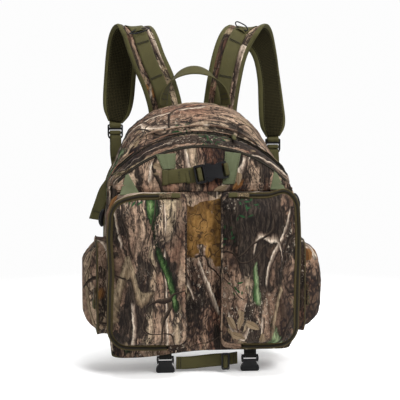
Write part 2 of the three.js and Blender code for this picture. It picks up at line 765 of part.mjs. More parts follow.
function frontBuckle() {
  const seat = (mesh) => place(mesh, SEAT, BUCKLE_TRAVEL, BUCKLE_OUT);
  seat(add("front_buckle_socket", socketGeometry(39), BLACK_PLASTIC));
  seat(add("front_buckle_plug", plugGeometry(), BLACK_PLASTIC));
  const loop = [
    [-36, -6], [-24, -5.9], [-18, -5.6], [-15.4, -3.2], [-14.7, 0.5], [-13.4, 2.9], [-11.3, 3.3],
    [-8.6, 3.1], [-6.9, 1], [-6.5, -2], [-6.5, -5],
  ];
  seat(add("front_strap_loop", fold(loop, 25, 1.2), OLIVE));
  const tab = [
    [50, -7.2], [46, -6.6], [42.8, -3.6], [42.2, 0.2], [41.2, 2.9], [38.9, 3.4], [36.4, 2.4], [35.6, 0],
    [35.6, -3], [36.4, -6],
  ];
  seat(add("front_buckle_tab", fold(tab, 23, 1.2), OLIVE));
}

frontBuckle();

// Pieces that lie on the upper front panel: a grid of x and z, lifted off its surface.
function onPanel(corners, lift, thickness, columns = 4, lines = 3) {
  const [lowLeft, lowRight, highRight, highLeft] = corners;
  const rows = Array.from({ length: lines + 1 }, (_, i) =>
    Array.from({ length: columns + 1 }, (_, j) => {
      const [v, u] = [i / lines, j / columns];
      const x = lerp(lerp(lowLeft[0], lowRight[0], u), lerp(highLeft[0], highRight[0], u), v);
      const z = lerp(lerp(lowLeft[1], lowRight[1], u), lerp(highLeft[1], highRight[1], u), v);
      return V(x, panelY(x, z) - lift - thickness, z);
    }),
  );
  return sheet(rows, thickness);
}

const strapPatch = [[-72, 306.5], [8, 314.5], [6, 341], [-73, 333]];
add("front_strap_webbing", onPanel(strapPatch, 0.35, 1, 8, 2), OLIVE);
const leftBand = [[-72, 335], [-52, 337], [-53, 358], [-83, 356]];
add("left_green_band", onPanel(leftBand, 0.35, 0.6), SAGE);
const rightBand = [[36, 307], [57, 307], [70, 359], [43, 361]];
add("right_green_band", onPanel(rightBand, 0.35, 0.4), SAGE);

// ---------- hanging buckles and webbing under the base ----------
const DROP_Y = -46;
for (const [name, x] of Object.entries(BOTTOM_BUCKLE_X)) {
  const bar = 29;
  const lift = 15; // the bar's depth under the base
  const turn = (mesh) =>
    place(mesh, V(x, DROP_Y, -lift - bar), V(0, 0, 1), V(0, -1, 0));
  turn(add(`${name}_bottom_buckle`, socketGeometry(bar), BLACK_PLASTIC));
  const tab = [
    [bar + 14, -22], [bar + 13.9, -12], [bar + 13.6, -5], [bar + 12.6, -0.5], [bar + 9.6, 1.6], [bar + 5, 2.6], [bar + 2, 3.4],
    [bar - 1, 3.9], [bar - 3.9, 2.4], [bar - 4.5, -0.5], [bar - 4.2, -3.4], [bar - 2.4, -6],
  ];
  turn(add(`${name}_bottom_tab`, fold(tab, 23, 1), OLIVE));
}

function bottomWebbing() {
  const stations = [
    [-48, -26.6, 12], [-30, -27.4, 12], [-12, -26.6, 12], [6, -24.6, 12], [22, -22.6, 12],
    [36, -21.2, 11.6], [50, -20, 11], [66, -18.4, 11],
  ].map(([x, z, half], i) => ({
    at: V(x, DROP_Y - 2 + 4 * Math.sin(i * 0.8), z),
    side: V(0, (i - 3) * 0.5, half),
  }));
  return ribbon(stations.reverse(), 1.5);
}

add("bottom_webbing", bottomWebbing(), OLIVE);

// A tri-glide: a flat frame with two slots that the webbing is laced through.
const GLIDE_X = 43;
function triGlide() {
  return carve(
    [plate(roundedRect(-7.5, 7.5, -15.6, 15.6, [3, 3, 3, 3], 3), -2.2, 2.2)],
    [box(3.6, 8, 26.4, -3.6, 0, 0), box(3.6, 8, 26.4, 3.6, 0, 0)],
  );
}

add("bottom_tri_glide", triGlide(), BLACK_PLASTIC).position.set(GLIDE_X, DROP_Y - 11, -23.5);

export default root;
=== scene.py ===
"""Looks for the hunting backpack. Metres, +Z up, -Y is the front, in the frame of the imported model."""

import math

import bpy
import numpy as np
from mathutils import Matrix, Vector


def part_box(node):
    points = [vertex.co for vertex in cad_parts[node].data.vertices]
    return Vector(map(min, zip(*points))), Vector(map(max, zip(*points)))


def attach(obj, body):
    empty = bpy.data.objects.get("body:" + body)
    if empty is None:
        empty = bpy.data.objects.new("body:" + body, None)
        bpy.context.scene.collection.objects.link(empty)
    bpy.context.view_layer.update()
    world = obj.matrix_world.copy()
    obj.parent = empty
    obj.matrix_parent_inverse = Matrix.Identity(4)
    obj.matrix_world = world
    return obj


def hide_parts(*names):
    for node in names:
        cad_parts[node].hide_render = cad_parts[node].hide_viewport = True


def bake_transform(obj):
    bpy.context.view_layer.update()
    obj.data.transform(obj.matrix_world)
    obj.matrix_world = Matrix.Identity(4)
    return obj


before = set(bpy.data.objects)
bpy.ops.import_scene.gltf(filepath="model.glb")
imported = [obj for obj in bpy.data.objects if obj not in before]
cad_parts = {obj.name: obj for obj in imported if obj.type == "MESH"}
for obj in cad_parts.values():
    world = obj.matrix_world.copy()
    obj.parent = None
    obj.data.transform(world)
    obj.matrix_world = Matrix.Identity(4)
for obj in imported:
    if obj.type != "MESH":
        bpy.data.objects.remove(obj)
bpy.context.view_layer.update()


# ---------------------------------------------------------------- numbers
def unit(v):
    v = np.asarray(v, float)
    return v / np.maximum(np.linalg.norm(v, axis=-1, keepdims=True), 1e-12)


def smooth(lo, hi, x):
    """0 up to lo, 1 from hi, and a smooth rise between them."""
    t = np.clip((np.asarray(x, float) - lo) / (hi - lo), 0, 1)
    return t * t * (3 - 2 * t)


_PERM = np.random.default_rng(11).permutation(4096)
_GRAD = unit(np.random.default_rng(12).normal(size=(4096, 3)))


def noise(p, scale=1.0, seed=0):
    """Gradient noise, about -0.7 to 0.7, at each row of p."""
    p = np.asarray(p, float) * scale + seed * 17.31
    i = np.floor(p).astype(int)
    f = p - i
    u = f * f * f * (f * (f * 6 - 15) + 10)
    total = 0
    for dx in (0, 1):
        for dy in (0, 1):
            for dz in (0, 1):
                h = _PERM[(i[..., 0] + dx) & 4095]
                h = _PERM[(h + i[..., 1] + dy) & 4095]
                h = _PERM[(h + i[..., 2] + dz) & 4095]
                g = _GRAD[h]
                d = f - np.array([dx, dy, dz])
                w = (
                    np.where(dx, u[..., 0], 1 - u[..., 0])
                    * np.where(dy, u[..., 1], 1 - u[..., 1])
                    * np.where(dz, u[..., 2], 1 - u[..., 2])
                )
                total = total + w * (g * d).sum(-1)
    return total


def xyz(*parts):
    """Points from their coordinates, each an array or a single number."""
    return np.stack(np.broadcast_arrays(*parts), -1)


def arc_length(path):
    return np.r_[0, np.cumsum(np.linalg.norm(np.diff(path, axis=0), axis=1))]


def resample(points, count):
    """Moves count points along a line to equal steps."""
    points = np.asarray(points, float)
    lengths = arc_length(points)
    at = np.linspace(0, lengths[-1], count)
    return np.stack([np.interp(at, lengths, points[:, k]) for k in range(points.shape[1])], 1)


def catmull(a, b, c, d, u):
    """A point between b and c on a Catmull-Rom curve."""
    square = (2 * a - 5 * b + 4 * c - d) * u * u
    return 0.5 * (2 * b + (c - a) * u + square + (3 * b - a - 3 * c + d) * u**3)


def spline(points, count):
    """A Catmull-Rom curve through points."""
    p = np.asarray(points, float)
    p = np.vstack([2 * p[0] - p[1], p, 2 * p[-1] - p[-2]])
    out = []
    t = np.linspace(0, len(p) - 3, count)
    for v in t:
        i = min(int(v), len(p) - 4)
        out.append(catmull(*p[i : i + 4], v - i))
    return np.array(out)


def grid_normals(p):
    du = np.gradient(p, axis=0)
    dv = np.gradient(p, axis=1)
    return unit(np.cross(dv, du))


def side_name(side):
    """side is -1 for the left, as seen from the front, and 1 for the right."""
    return "left" if side < 0 else "right"


UP, FRONT, BACK = (0, 0, 1.0), (0, -1.0, 0), (0, 1.0, 0)


def turned(direction, grid, *others, axis=1):
    """The grids, all flipped along one axis if the middle of the first faces away from a direction."""
    grids = (grid, *others)
    if grid_normals(grid)[len(grid) // 2, grid.shape[1] // 2] @ direction < 0:
        grids = tuple(np.flip(g, axis) for g in grids)
    return grids if others else grids[0]


# ---------------------------------------------------------------- mesh building
class Piece:
    """Collects surfaces into one mesh. pat holds each vertex's place in its material's pattern."""

    def __init__(self, name):
        self.name, self.v, self.pat, self.f, self.m = name, [], [], [], []
        self.mats, self.count = [], 0

    def _slot(self, mat):
        if mat not in self.mats:
            self.mats.append(mat)
        return self.mats.index(mat)

    def add(self, verts, faces, mat, pat=None):
        verts = np.asarray(verts, float).reshape(-1, 3)
        pat = verts if pat is None else np.asarray(pat, float).reshape(-1, 3)
        self.v.append(verts)
        self.pat.append(pat)
        self.f.extend([tuple(int(i) + self.count for i in f) for f in faces])
        mats = mat if isinstance(mat, list) else [mat] * len(faces)
        self.m.extend(self._slot(k) for k in mats)
        self.count += len(verts)

    def sheet(self, p, mat, thickness, pat=None, inner=None, edge=None, loop=False):
        """A closed sheet: p is its outer surface, and the thickness is laid against the normals."""
        n, m = p.shape[:2]
        nor = grid_normals(p)
        if loop:
            wide = np.concatenate([p[:, -3:-1], p, p[:, 1:3]], 1)
            nor = grid_normals(wide)[:, 2:-2]
        back = p - nor * thickness
        verts = np.concatenate([p.reshape(-1, 3), back.reshape(-1, 3)])
        if pat is None:
            pat = p
        pats = np.concatenate([pat.reshape(-1, 3), pat.reshape(-1, 3)])
        faces, mats = [], []
        o = n * m
        for i in range(n - 1):
            for j in range(m - 1):
                a, b, c, d = i * m + j, i * m + j + 1, (i + 1) * m + j + 1, (i + 1) * m + j
                faces += [(a, b, c, d), (o + a, o + d, o + c, o + b)]
                mats += [mat, inner or mat]
        for j in range(m - 1):
            a, b = j, j + 1
            faces.append((a, o + a, o + b, b))
            a, b = (n - 1) * m + j, (n - 1) * m + j + 1
            faces.append((a, b, o + b, o + a))
            mats += [edge or mat] * 2
        if not loop:
            for i in range(n - 1):
                a, b = i * m, (i + 1) * m
                faces.append((a, b, o + b, o + a))
                a, b = i * m + m - 1, (i + 1) * m + m - 1
                faces.append((a, o + a, o + b, b))
                mats += [edge or mat] * 2
        self.add(verts, faces, mats, pats)

    def sweep(self, path, sections, mat, pat=None, closed=False, caps=True):
        """Rings of points sections[i, k] along a path, as a closed skin. mat may be one per ring side."""
        n, m = sections.shape[:2]
        if pat is None:
            along = arc_length(path)
            ring = np.concatenate([sections, sections[:, :1]], 1)
            around = arc_length(ring[0])[:m]
            pat = xyz(around[None], along[:, None], 0.0)
        faces, mats = [], []
        rows = n if closed else n - 1
        for i in range(rows):
            for k in range(m):
                a, b = i * m + k, i * m + (k + 1) % m
                c, d = ((i + 1) % n) * m + (k + 1) % m, ((i + 1) % n) * m + k
                faces.append((a, b, c, d))
                mats.append(mat[k] if isinstance(mat, list) else mat)
        verts, pats = sections.reshape(-1, 3), pat.reshape(-1, 3)
        if caps and not closed:
            end = mat[0] if isinstance(mat, list) else mat
            faces += [tuple(range(m - 1, -1, -1)), tuple((n - 1) * m + k for k in range(m))]
            mats += [end, end]
        self.add(verts, faces, mats, pats)

    def tube(self, path, radius, mat, sides=8, closed=False, up=(0, 0, 1), flat=1.0):
        path = np.asarray(path, float)
        t = np.gradient(path, axis=0)
        if closed:
            t = np.roll(path, -1, 0) - np.roll(path, 1, 0)
        t = unit(t)
        side = unit(np.cross(np.broadcast_to(up, t.shape), t))
        other = np.cross(t, side)
        a = np.linspace(0, 2 * math.pi, sides, endpoint=False)
        r = np.broadcast_to(np.asarray(radius, float), (len(path),))[:, None, None]
        ring = np.cos(a)[None, :, None] * side[:, None] + flat * np.sin(a)[None, :, None] * other[:, None]
        self.sweep(path, path[:, None] + r * ring, mat, closed=closed)

    def strap(self, path, side, thickness, mat, crown=0.0, pat_offset=0.0, columns=6):
        """A webbing band: path is its middle, side the half width as a vector at each point."""
        path, side = np.asarray(path, float), np.broadcast_to(np.asarray(side, float), np.shape(path))
        t = unit(np.gradient(path, axis=0))
        nor = unit(np.cross(side, t))
        u = np.linspace(-1, 1, columns + 1)
        bulge = crown * (1 - u**2)
        around = np.concatenate([u, u[::-1]])
        height = np.concatenate([thickness / 2 + bulge, bulge[::-1] - thickness / 2])
        ring = path[:, None] + side[:, None] * around[:, None] + nor[:, None] * height[:, None]
        across = around[None] * np.linalg.norm(side, axis=1)[:, None]
        along = np.broadcast_to(arc_length(path)[:, None], across.shape)
        pat = xyz(across, along + pat_offset, np.zeros_like(across))
        self.sweep(path, ring, mat, pat=pat)

    def build(self, body=None, replaces=(), subdivide=0, flat=False):
        mesh = bpy.data.meshes.new(self.name)
        verts = np.concatenate(self.v)
        mesh.from_pydata(verts.tolist(), [], self.f)
        for mat in self.mats:
            mesh.materials.append(mat)
        mesh.polygons.foreach_set("material_index", self.m)
        mesh.polygons.foreach_set("use_smooth", [not flat] * len(self.f))
        att = mesh.attributes.new("pat", "FLOAT_VECTOR", "POINT")
        att.data.foreach_set("vector", np.concatenate(self.pat).astype(np.float32).ravel())
        mesh.validate()
        mesh.update()
        obj = bpy.data.objects.new(self.name, mesh)
        bpy.context.scene.collection.objects.link(obj)
        if subdivide:
            mod = obj.modifiers.new("sub", "SUBSURF")
            mod.levels = mod.render_levels = subdivide
        if body:
            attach(obj, body)
        if replaces:
            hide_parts(*replaces)
        return obj


# ---------------------------------------------------------------- materials
class Mat:
    """A short way to write node materials."""

    def __init__(self, name):
        self.mat = bpy.data.materials.new(name)
        self.mat.use_nodes = True
        self.tree = self.mat.node_tree
        self.bsdf = self.tree.nodes["Principled BSDF"]

    def node(self, kind, **values):
        n = self.tree.nodes.new(kind)
        for key, value in values.items():
            if key.startswith("_"):
                setattr(n, key[1:], value)
            else:
                self.link(n, key, value)
        return n

    def link(self, n, key, value):
        socket = n.inputs[int(key[1:])] if key[0] == "i" and key[1:].isdigit() else n.inputs[key]
        if isinstance(value, bpy.types.NodeSocket):
            self.tree.links.new(value, socket)
        else:
            socket.default_value = value

    def pat(self):
        return self.node("ShaderNodeAttribute", _attribute_name="pat").outputs["Vector"]

    def place(self):
        return self.node("ShaderNodeTexCoord").outputs["Object"]

    def scaled(self, vec, scale, offset=(0, 0, 0), turn=(0, 0, 0)):
        return self.node(
            "ShaderNodeMapping", Vector=vec, Scale=scale, Location=offset, Rotation=turn
        ).outputs[0]

    def noise(self, vec, scale=1.0, detail=3.0, rough=0.5, distort=0.0):
        n = self.node(
            "ShaderNodeTexNoise", Vector=vec, Scale=scale, Detail=detail, Roughness=rough, Distortion=distort
        )
        return n.outputs["Fac"]

    def voronoi(self, vec, scale=1.0, randomness=1.0, out="Distance", feature="F1"):
        n = self.node(
            "ShaderNodeTexVoronoi", _feature=feature, Vector=vec, Scale=scale, Randomness=randomness
        )
        return n.outputs[out]

    def math(self, op, a, b=0.0, c=None, clamp=False):
        n = self.node("ShaderNodeMath", _operation=op, _use_clamp=clamp, i0=a, i1=b)
        if c is not None:
            self.link(n, "i2", c)
        return n.outputs[0]

    def add(self, a, b, clamp=False):
        return self.math("ADD", a, b, clamp=clamp)

    def sub(self, a, b):
        return self.math("SUBTRACT", a, b)

    def mul(self, a, b):
        return self.math("MULTIPLY", a, b)

    def invert(self, a):
        return self.sub(1.0, a)

    def vector(self, op, a, b):
        return self.node("ShaderNodeVectorMath", _operation=op, i0=a, i1=b).outputs[0]

    def split(self, vec):
        return self.node("ShaderNodeSeparateXYZ", Vector=vec).outputs

    def step(self, value, lo, hi):
        """0 up to lo, 1 from hi, and a smooth rise between them."""
        n = self.node("ShaderNodeMapRange", _interpolation_type="SMOOTHSTEP", Value=value)
        n.inputs["From Min"].default_value, n.inputs["From Max"].default_value = lo, hi
        return n.outputs[0]

    def ridge(self, value, width):
        """1 where value is near one half."""
        far = self.math("ABSOLUTE", self.math("SUBTRACT", value, 0.5))
        return self.math("SUBTRACT", 1.0, self.step(far, width * 0.5, width))

    def ramp(self, fac, stops):
        n = self.node("ShaderNodeValToRGB", Fac=fac)
        e = n.color_ramp.elements
        while len(e) < len(stops):
            e.new(0.5)
        for item, (at, colour) in zip(e, stops):
            item.position, item.color = at, (*colour, 1)
        return n.outputs["Color"]

    def mix(self, fac, a, b, blend="MIX"):
        n = self.node("ShaderNodeMix", _data_type="RGBA", _blend_type=blend, _clamp_result=False)
        self.link(n, "i0", fac)
        for k, v in ((6, a), (7, b)):
            self.link(n, f"i{k}", (*v, 1) if isinstance(v, tuple) else v)
        return n.outputs[2]

    def tint(self, amount, colour, fac, stops):
        """Multiplies a colour by a ramp over fac."""
        return self.mix(amount, colour, self.ramp(fac, stops), "MULTIPLY")

    def bump(self, height, strength=0.4, distance=0.001, normal=None):
        n = self.node("ShaderNodeBump", Strength=strength, Distance=distance, Height=height)
        if normal is not None:
            self.link(n, "Normal", normal)
        return n.outputs[0]

    def finish(self, colour, rough, normal=None, metal=0.0, sheen=0.0, spec=0.5):
        for key, value in (
            ("Base Color", (*colour, 1) if isinstance(colour, tuple) else colour),
            ("Roughness", rough),
            ("Metallic", metal),
            ("Sheen Weight", sheen),
            ("Specular IOR Level", spec),
        ):
            self.link(self.bsdf, key, value)
        if normal is not None:
            self.link(self.bsdf, "Normal", normal)
        return self.mat


def weave_height(m, vec, pitch):
    """A plain weave: two crossed sets of threads."""
    s = 2 * math.pi / pitch
    x, y = m.split(vec)[:2]
    a = m.math("SINE", m.mul(x, s))
    b = m.math("SINE", m.mul(y, s))
    return m.mul(a, b)


def leaves(m, flat, colour, size, shape, gate_at, tones, offset):
    """Scatters leaves with a midrib and side veins over a colour.

    shape is (half length, half width) in cells, and tones are dark, light, lit half and veins.
    """
    r = m.scaled(flat, (1 / size, 1 / size, 1), offset)
    cell = m.node("ShaderNodeTexVoronoi", _voronoi_dimensions="2D", Vector=r, Scale=1.0)
    local = m.vector("SUBTRACT", r, cell.outputs["Position"])
    pick = m.node("ShaderNodeSeparateColor", i0=cell.outputs["Color"])
    angle = m.mul(pick.outputs[0], 6.283)
    spun = m.node("ShaderNodeVectorRotate", _rotation_type="Z_AXIS", Vector=local, Angle=angle)
    along, y = m.split(spun.outputs[0])[:2]
    x = m.math("ABSOLUTE", along)
    lobes = m.mul(m.sub(m.noise(r, scale=5.5, detail=2), 0.5), 0.16)
    t = m.math("DIVIDE", y, shape[0])
    width = m.mul(m.invert(m.mul(t, t)), shape[1])
    inside = m.step(m.sub(m.add(width, lobes), x), 0.0, 0.035)
    gate = m.step(m.noise(m.scaled(flat, (8, 8, 1), offset), detail=1), gate_at, gate_at + 0.02)
    chosen = m.step(pick.outputs[1], 0.25, 0.27)
    mask = m.mul(m.mul(inside, gate), chosen)
    side = m.step(along, -0.04, 0.04)
    body = m.mix(m.noise(r, scale=4, detail=4, rough=0.7), tones[0], tones[1])
    body = m.mix(m.mul(side, 0.35), body, tones[2])
    rib = m.invert(m.step(x, 0.008, 0.022))
    veins = m.math("SINE", m.mul(m.add(y, m.mul(x, 1.3)), 46.0))
    rib = m.math("MAXIMUM", rib, m.mul(m.step(veins, 0.86, 0.98), 0.6))
    body = m.mix(m.mul(rib, 0.7), body, tones[3])
    return m.mix(mask, colour, body)


def bands(m, vec, scale, offset, count):
    """Cuts a smooth field into overlapping stems: a random value for each, and the place across it."""
    field = m.mul(m.noise(m.scaled(vec, scale, offset), detail=1.0, rough=0.4), count)
    index = m.math("FLOOR", field)
    value = m.node("ShaderNodeTexWhiteNoise", _noise_dimensions="1D", W=index).outputs["Value"]
    return value, m.sub(field, index)


def limb(m, flat, colour, scale, turn, offset, width, stops, gate_at=None, detail=0.8, rugged=0.9):
    """A branch with round shading and peeling bark, where a smooth noise crosses its middle."""
    field = m.noise(m.scaled(flat, scale, offset, (0, 0, turn)), detail=detail, rough=0.4)
    fringe = m.noise(m.scaled(flat, (130, 70, 1), offset), detail=3, rough=0.7)
    across = m.add(m.math("DIVIDE", m.sub(field, 0.5), 2 * width), 0.5)
    across = m.add(across, m.mul(m.sub(fringe, 0.5), 0.55), clamp=True)
    mask = m.mul(m.step(across, 0.0, 0.05), m.invert(m.step(across, 0.95, 1.0)))
    if gate_at is not None:
        gate = m.step(m.noise(m.scaled(flat, (9, 6, 1), offset), detail=2), gate_at, gate_at + 0.03)
        mask = m.mul(mask, gate)
    body = m.ramp(across, stops)
    grain = m.noise(m.scaled(flat, (260, 60, 1), offset, (0, 0, turn * 0.5)), detail=5, rough=0.75)
    streaks = [(0.36, (0.16, 0.14, 0.13)), (0.50, (0.85, 0.85, 0.85)), (0.64, (1.5, 1.5, 1.5))]
    body = m.tint(rugged, body, grain, streaks)
    return m.mix(mask, colour, body)


def bark(m, q, flat, tone):
    """Stems, bark and shadow. Gives the colour, the grain and the fine scale of the bark."""
    # Stems side by side, each lit along one side.
    value, across = bands(m, q, (9, 1.7, 1), (0, 0, 0), 13)
    broad = m.add(m.mul(m.noise(m.scaled(q, (15, 5, 1)), detail=4, rough=0.6), 0.62), m.mul(value, 0.38))
    broad = m.add(broad, m.mul(tone, 0.075))
    colour = m.ramp(
        broad,
        [
            (0.34, (0.036, 0.026, 0.021)),
            (0.42, (0.092, 0.062, 0.048)),
            (0.50, (0.186, 0.130, 0.102)),
            (0.57, (0.262, 0.196, 0.156)),
            (0.66, (0.380, 0.308, 0.244)),
            (0.74, (0.285, 0.245, 0.182)),
        ],
    )
    warm = m.step(m.noise(m.scaled(q, (8, 6, 1), (3, 1, 0)), detail=3), 0.50, 0.62)
    colour = m.mix(m.mul(warm, 0.5), colour, (0.190, 0.090, 0.062))
    lit = m.ramp(
        across,
        [
            (0.0, (0.16, 0.15, 0.15)), (0.10, (0.62, 0.60, 0.60)), (0.40, (1.12, 1.10, 1.08)),
            (0.72, (0.95, 0.94, 0.93)), (0.92, (0.50, 0.48, 0.47)), (1.0, (0.22, 0.20, 0.20)),
        ],
    )
    colour = m.mix(0.80, colour, lit, "MULTIPLY")
    # Grain along the bark, cross cracks, and dark fissures.
    grain = m.noise(m.scaled(q, (300, 34, 1)), detail=6, rough=0.78)
    streaks = [(0.35, (0.32, 0.29, 0.26)), (0.5, (0.92, 0.90, 0.87)), (0.65, (1.48, 1.45, 1.38))]
    colour = m.tint(1.0, colour, grain, streaks)
    scale = m.noise(m.scaled(q, (120, 150, 1), (5, 5, 0)), detail=4, rough=0.7)
    cracks = [(0.38, (0.30, 0.28, 0.27)), (0.5, (0.98, 0.97, 0.96)), (0.62, (1.40, 1.38, 1.36))]
    colour = m.tint(0.65, colour, scale, cracks)
    fissure = m.ridge(m.noise(m.scaled(q, (52, 8, 1), (7, 2, 0)), detail=5, rough=0.65), 0.026)
    where = m.step(m.noise(m.scaled(q, (10, 5, 1), (5, 9, 0)), detail=2), 0.40, 0.52)
    colour = m.mix(m.mul(fissure, m.mul(where, 0.92)), colour, (0.010, 0.008, 0.008))
    # Plated bark with cracks round each plate.
    plates = m.voronoi(m.scaled(q, (135, 58, 1)), out="Distance", feature="DISTANCE_TO_EDGE")
    plated = m.step(
        m.sub(m.noise(m.scaled(flat, (7, 4, 1), (1, 8, 0)), detail=4, rough=0.65), m.mul(tone, 0.05)),
        0.530,
        0.560,
    )
    edge = m.mul(m.invert(m.step(plates, 0.03, 0.20)), plated)
    colour = m.mix(m.mul(plated, 0.35), colour, m.mix(1.0, colour, (0.55, 0.52, 0.50), "MULTIPLY"))
    colour = m.mix(m.mul(edge, 0.85), colour, (0.010, 0.008, 0.009))
    # Shadow shapes.
    field = m.sub(m.noise(m.scaled(q, (12, 5, 1), (11, 4, 0)), detail=7, rough=0.66), m.mul(tone, 0.06))
    shade = m.step(field, 0.520, 0.548)
    deep = m.mix(m.step(grain, 0.46, 0.66), (0.008, 0.0064, 0.0058), (0.054, 0.042, 0.034))
    colour = m.mix(m.mul(shade, 0.93), colour, deep)
    # Pale lichen flecks.
    fleck = m.step(m.noise(m.scaled(flat, (190, 120, 1)), detail=4, rough=0.75), 0.57, 0.62)
    there = m.step(m.noise(m.scaled(flat, (9, 8, 1), (6, 6, 0)), detail=3), 0.50, 0.60)
    colour = m.mix(m.mul(m.mul(fleck, there), 0.85), colour, (0.36, 0.32, 0.27))
    return colour, grain, scale


def sticks(m, flat, tone, colour):
    """Broken limbs and pale sticks lying over the bark. The thin mossy one shows on the darker panels."""
    moss = [
        (0.0, (0.006, 0.010, 0.006)), (0.25, (0.012, 0.030, 0.012)), (0.55, (0.040, 0.092, 0.032)),
        (0.78, (0.20, 0.26, 0.15)), (1.0, (0.024, 0.040, 0.020)),
    ]
    birch = [
        (0.0, (0.008, 0.006, 0.006)), (0.28, (0.060, 0.042, 0.034)), (0.6, (0.27, 0.215, 0.175)),
        (0.82, (0.56, 0.49, 0.42)), (1.0, (0.06, 0.05, 0.04)),
    ]
    tan = [
        (0.0, (0.03, 0.022, 0.016)), (0.25, (0.12, 0.088, 0.058)), (0.6, (0.24, 0.19, 0.132)),
        (1.0, (0.15, 0.12, 0.08)),
    ]
    colour = limb(m, flat, colour, (10, 2.6, 1), 0.12, (9.7, 3.1, 0), 0.014, tan, 0.53)
    colour = limb(m, flat, colour, (8, 1.9, 1), -0.10, (2.3, 5.4, 0), 0.017, birch, 0.47)
    mossy = limb(m, flat, colour, (7, 2.2, 1), 0.16, (6.1, 0.7, 0), 0.034, moss, 0.56)
    colour = m.mix(m.step(tone, -0.10, 0.02), mossy, colour)
    colour = limb(m, flat, colour, (12, 3, 1), 1.15, (4.2, 8.8, 0), 0.012, birch, 0.53)
    return colour


def broad_limb(m, q, mark, colour, scale, grain):
    """The broad mossy limb laid along one panel, where the panel's mark falls below -1."""
    fringe = m.noise(m.scaled(q, (64, 22, 1), (2, 7, 0)), detail=8, rough=0.84)
    depth = m.sub(m.mul(m.add(mark, 1.0), -0.5), m.mul(m.sub(fringe, 0.36), 1.9))
    skin = m.ramp(
        depth,
        [
            (0.02, (0.006, 0.009, 0.005)), (0.24, (0.013, 0.028, 0.010)), (0.48, (0.036, 0.078, 0.024)),
            (0.70, (0.095, 0.150, 0.062)), (0.92, (0.34, 0.36, 0.27)),
        ],
    )
    rough = [(0.38, (0.25, 0.24, 0.22)), (0.5, (1.0, 1.0, 1.0)), (0.62, (1.5, 1.45, 1.4))]
    skin = m.tint(0.6, skin, scale, rough)
    edge = m.step(depth, -0.03, 0.03)
    fine = [(0.38, (0.18, 0.18, 0.16)), (0.50, (0.9, 0.9, 0.9)), (0.62, (1.5, 1.5, 1.5))]
    return m.mix(edge, colour, m.tint(1.0, skin, grain, fine))


# Green sprigs, rust leaves and dry tan ones: cell size, shape, rarity, tones and place in the print.
LEAF_KINDS = (
    (
        0.011, (0.62, 0.17), 0.640,
        ((0.004, 0.026, 0.010), (0.016, 0.062, 0.022), (0.030, 0.090, 0.034), (0.006, 0.018, 0.007)),
        (3, 5, 0),
    ),
    (
        0.034, (0.60, 0.26), 0.650,
        ((0.055, 0.022, 0.008), (0.150, 0.066, 0.020), (0.260, 0.140, 0.050), (0.020, 0.010, 0.006)),
        (8, 1, 0),
    ),
    (
        0.026, (0.62, 0.24), 0.640,
        ((0.110, 0.080, 0.048), (0.200, 0.150, 0.098), (0.290, 0.230, 0.160), (0.040, 0.028, 0.018)),
        (4, 11, 0),
    ),
)


def litter(m, flat, colour):
    """Dark twigs, then green sprigs, rust leaves and dry tan ones."""
    twig = [(0.0, (0.008, 0.006, 0.005)), (0.5, (0.020, 0.014, 0.011)), (1.0, (0.060, 0.045, 0.034))]
    colour = limb(m, flat, colour, (7, 5, 1), 0.7, (1.9, 2.2, 0), 0.0055, twig, 0.47, 1.5, 0.3)
    colour = limb(m, flat, colour, (6, 6, 1), -0.5, (7.7, 9.2, 0), 0.0036, twig, 0.47, 2.0, 0.3)
    for size, shape, gate_at, tones, offset in LEAF_KINDS:
        colour = leaves(m, flat, colour, size, shape, gate_at, tones, offset)
    return colour


def golden_patch(m, q, mark, colour):
    """A veined golden leaf shape, where the panel's mark rises above 1."""
    patch = m.noise(m.scaled(q, (20, 15, 1), (2, 2, 0)), detail=3)
    gold = m.mul(m.step(m.add(mark, m.mul(m.sub(patch, 0.5), 5.0)), 1.0, 1.2), m.step(patch, 0.385, 0.410))
    golden = m.ramp(
        m.noise(m.scaled(q, (60, 30, 1), (4, 2, 0)), detail=5, rough=0.7),
        [(0.36, (0.050, 0.024, 0.006)), (0.50, (0.150, 0.080, 0.020)), (0.64, (0.290, 0.165, 0.050))],
    )
    rib = m.math(
        "MAXIMUM",
        m.ridge(patch, 0.010),
        m.ridge(m.noise(m.scaled(q, (34, 24, 1), (9, 3, 0)), detail=2), 0.012),
    )
    golden = m.mix(m.mul(rib, 0.85), golden, (0.022, 0.012, 0.005))
    return m.mix(m.mul(gold, 0.92), colour, golden)


def camo(name):
    """A generic woodland print: bark, shadow, limbs, twigs and turned leaves.

    pat z is the panel's tone, from -1 dark to 1 light. Above 1 it brings out the golden patch, and below -1
    the broad mossy limb.
    """
    m = Mat(name)
    p = m.pat()
    mark = m.split(p)[2]
    tone = m.math("MAXIMUM", m.math("MINIMUM", mark, 1.0), -1.0)
    flat = m.scaled(p, (1, 1, 0))
    wobble = m.node("ShaderNodeTexNoise", Vector=flat, Scale=24.0, Detail=5.0)
    shift = m.vector("SUBTRACT", wobble.outputs["Color"], (0.5, 0.5, 0.5))
    q = m.vector("ADD", flat, m.vector("MULTIPLY", shift, (0.020, 0.034, 0)))
    colour, grain, scale = bark(m, q, flat, tone)
    colour = sticks(m, flat, tone, colour)
    colour = broad_limb(m, q, mark, colour, scale, grain)
    colour = litter(m, flat, colour)
    colour = golden_patch(m, q, mark, colour)
    colour = m.mix(1.0, colour, (0.98, 0.93, 0.86), "MULTIPLY")
    fibre = m.noise(p, scale=900, detail=2)
    height = m.add(m.mul(weave_height(m, p, 0.0011), 0.5), fibre)
    rough = m.add(0.70, m.mul(grain, 0.22))
    return m.finish(colour, rough, m.bump(height, 0.35, 0.0004), sheen=0.015, spec=0.10)


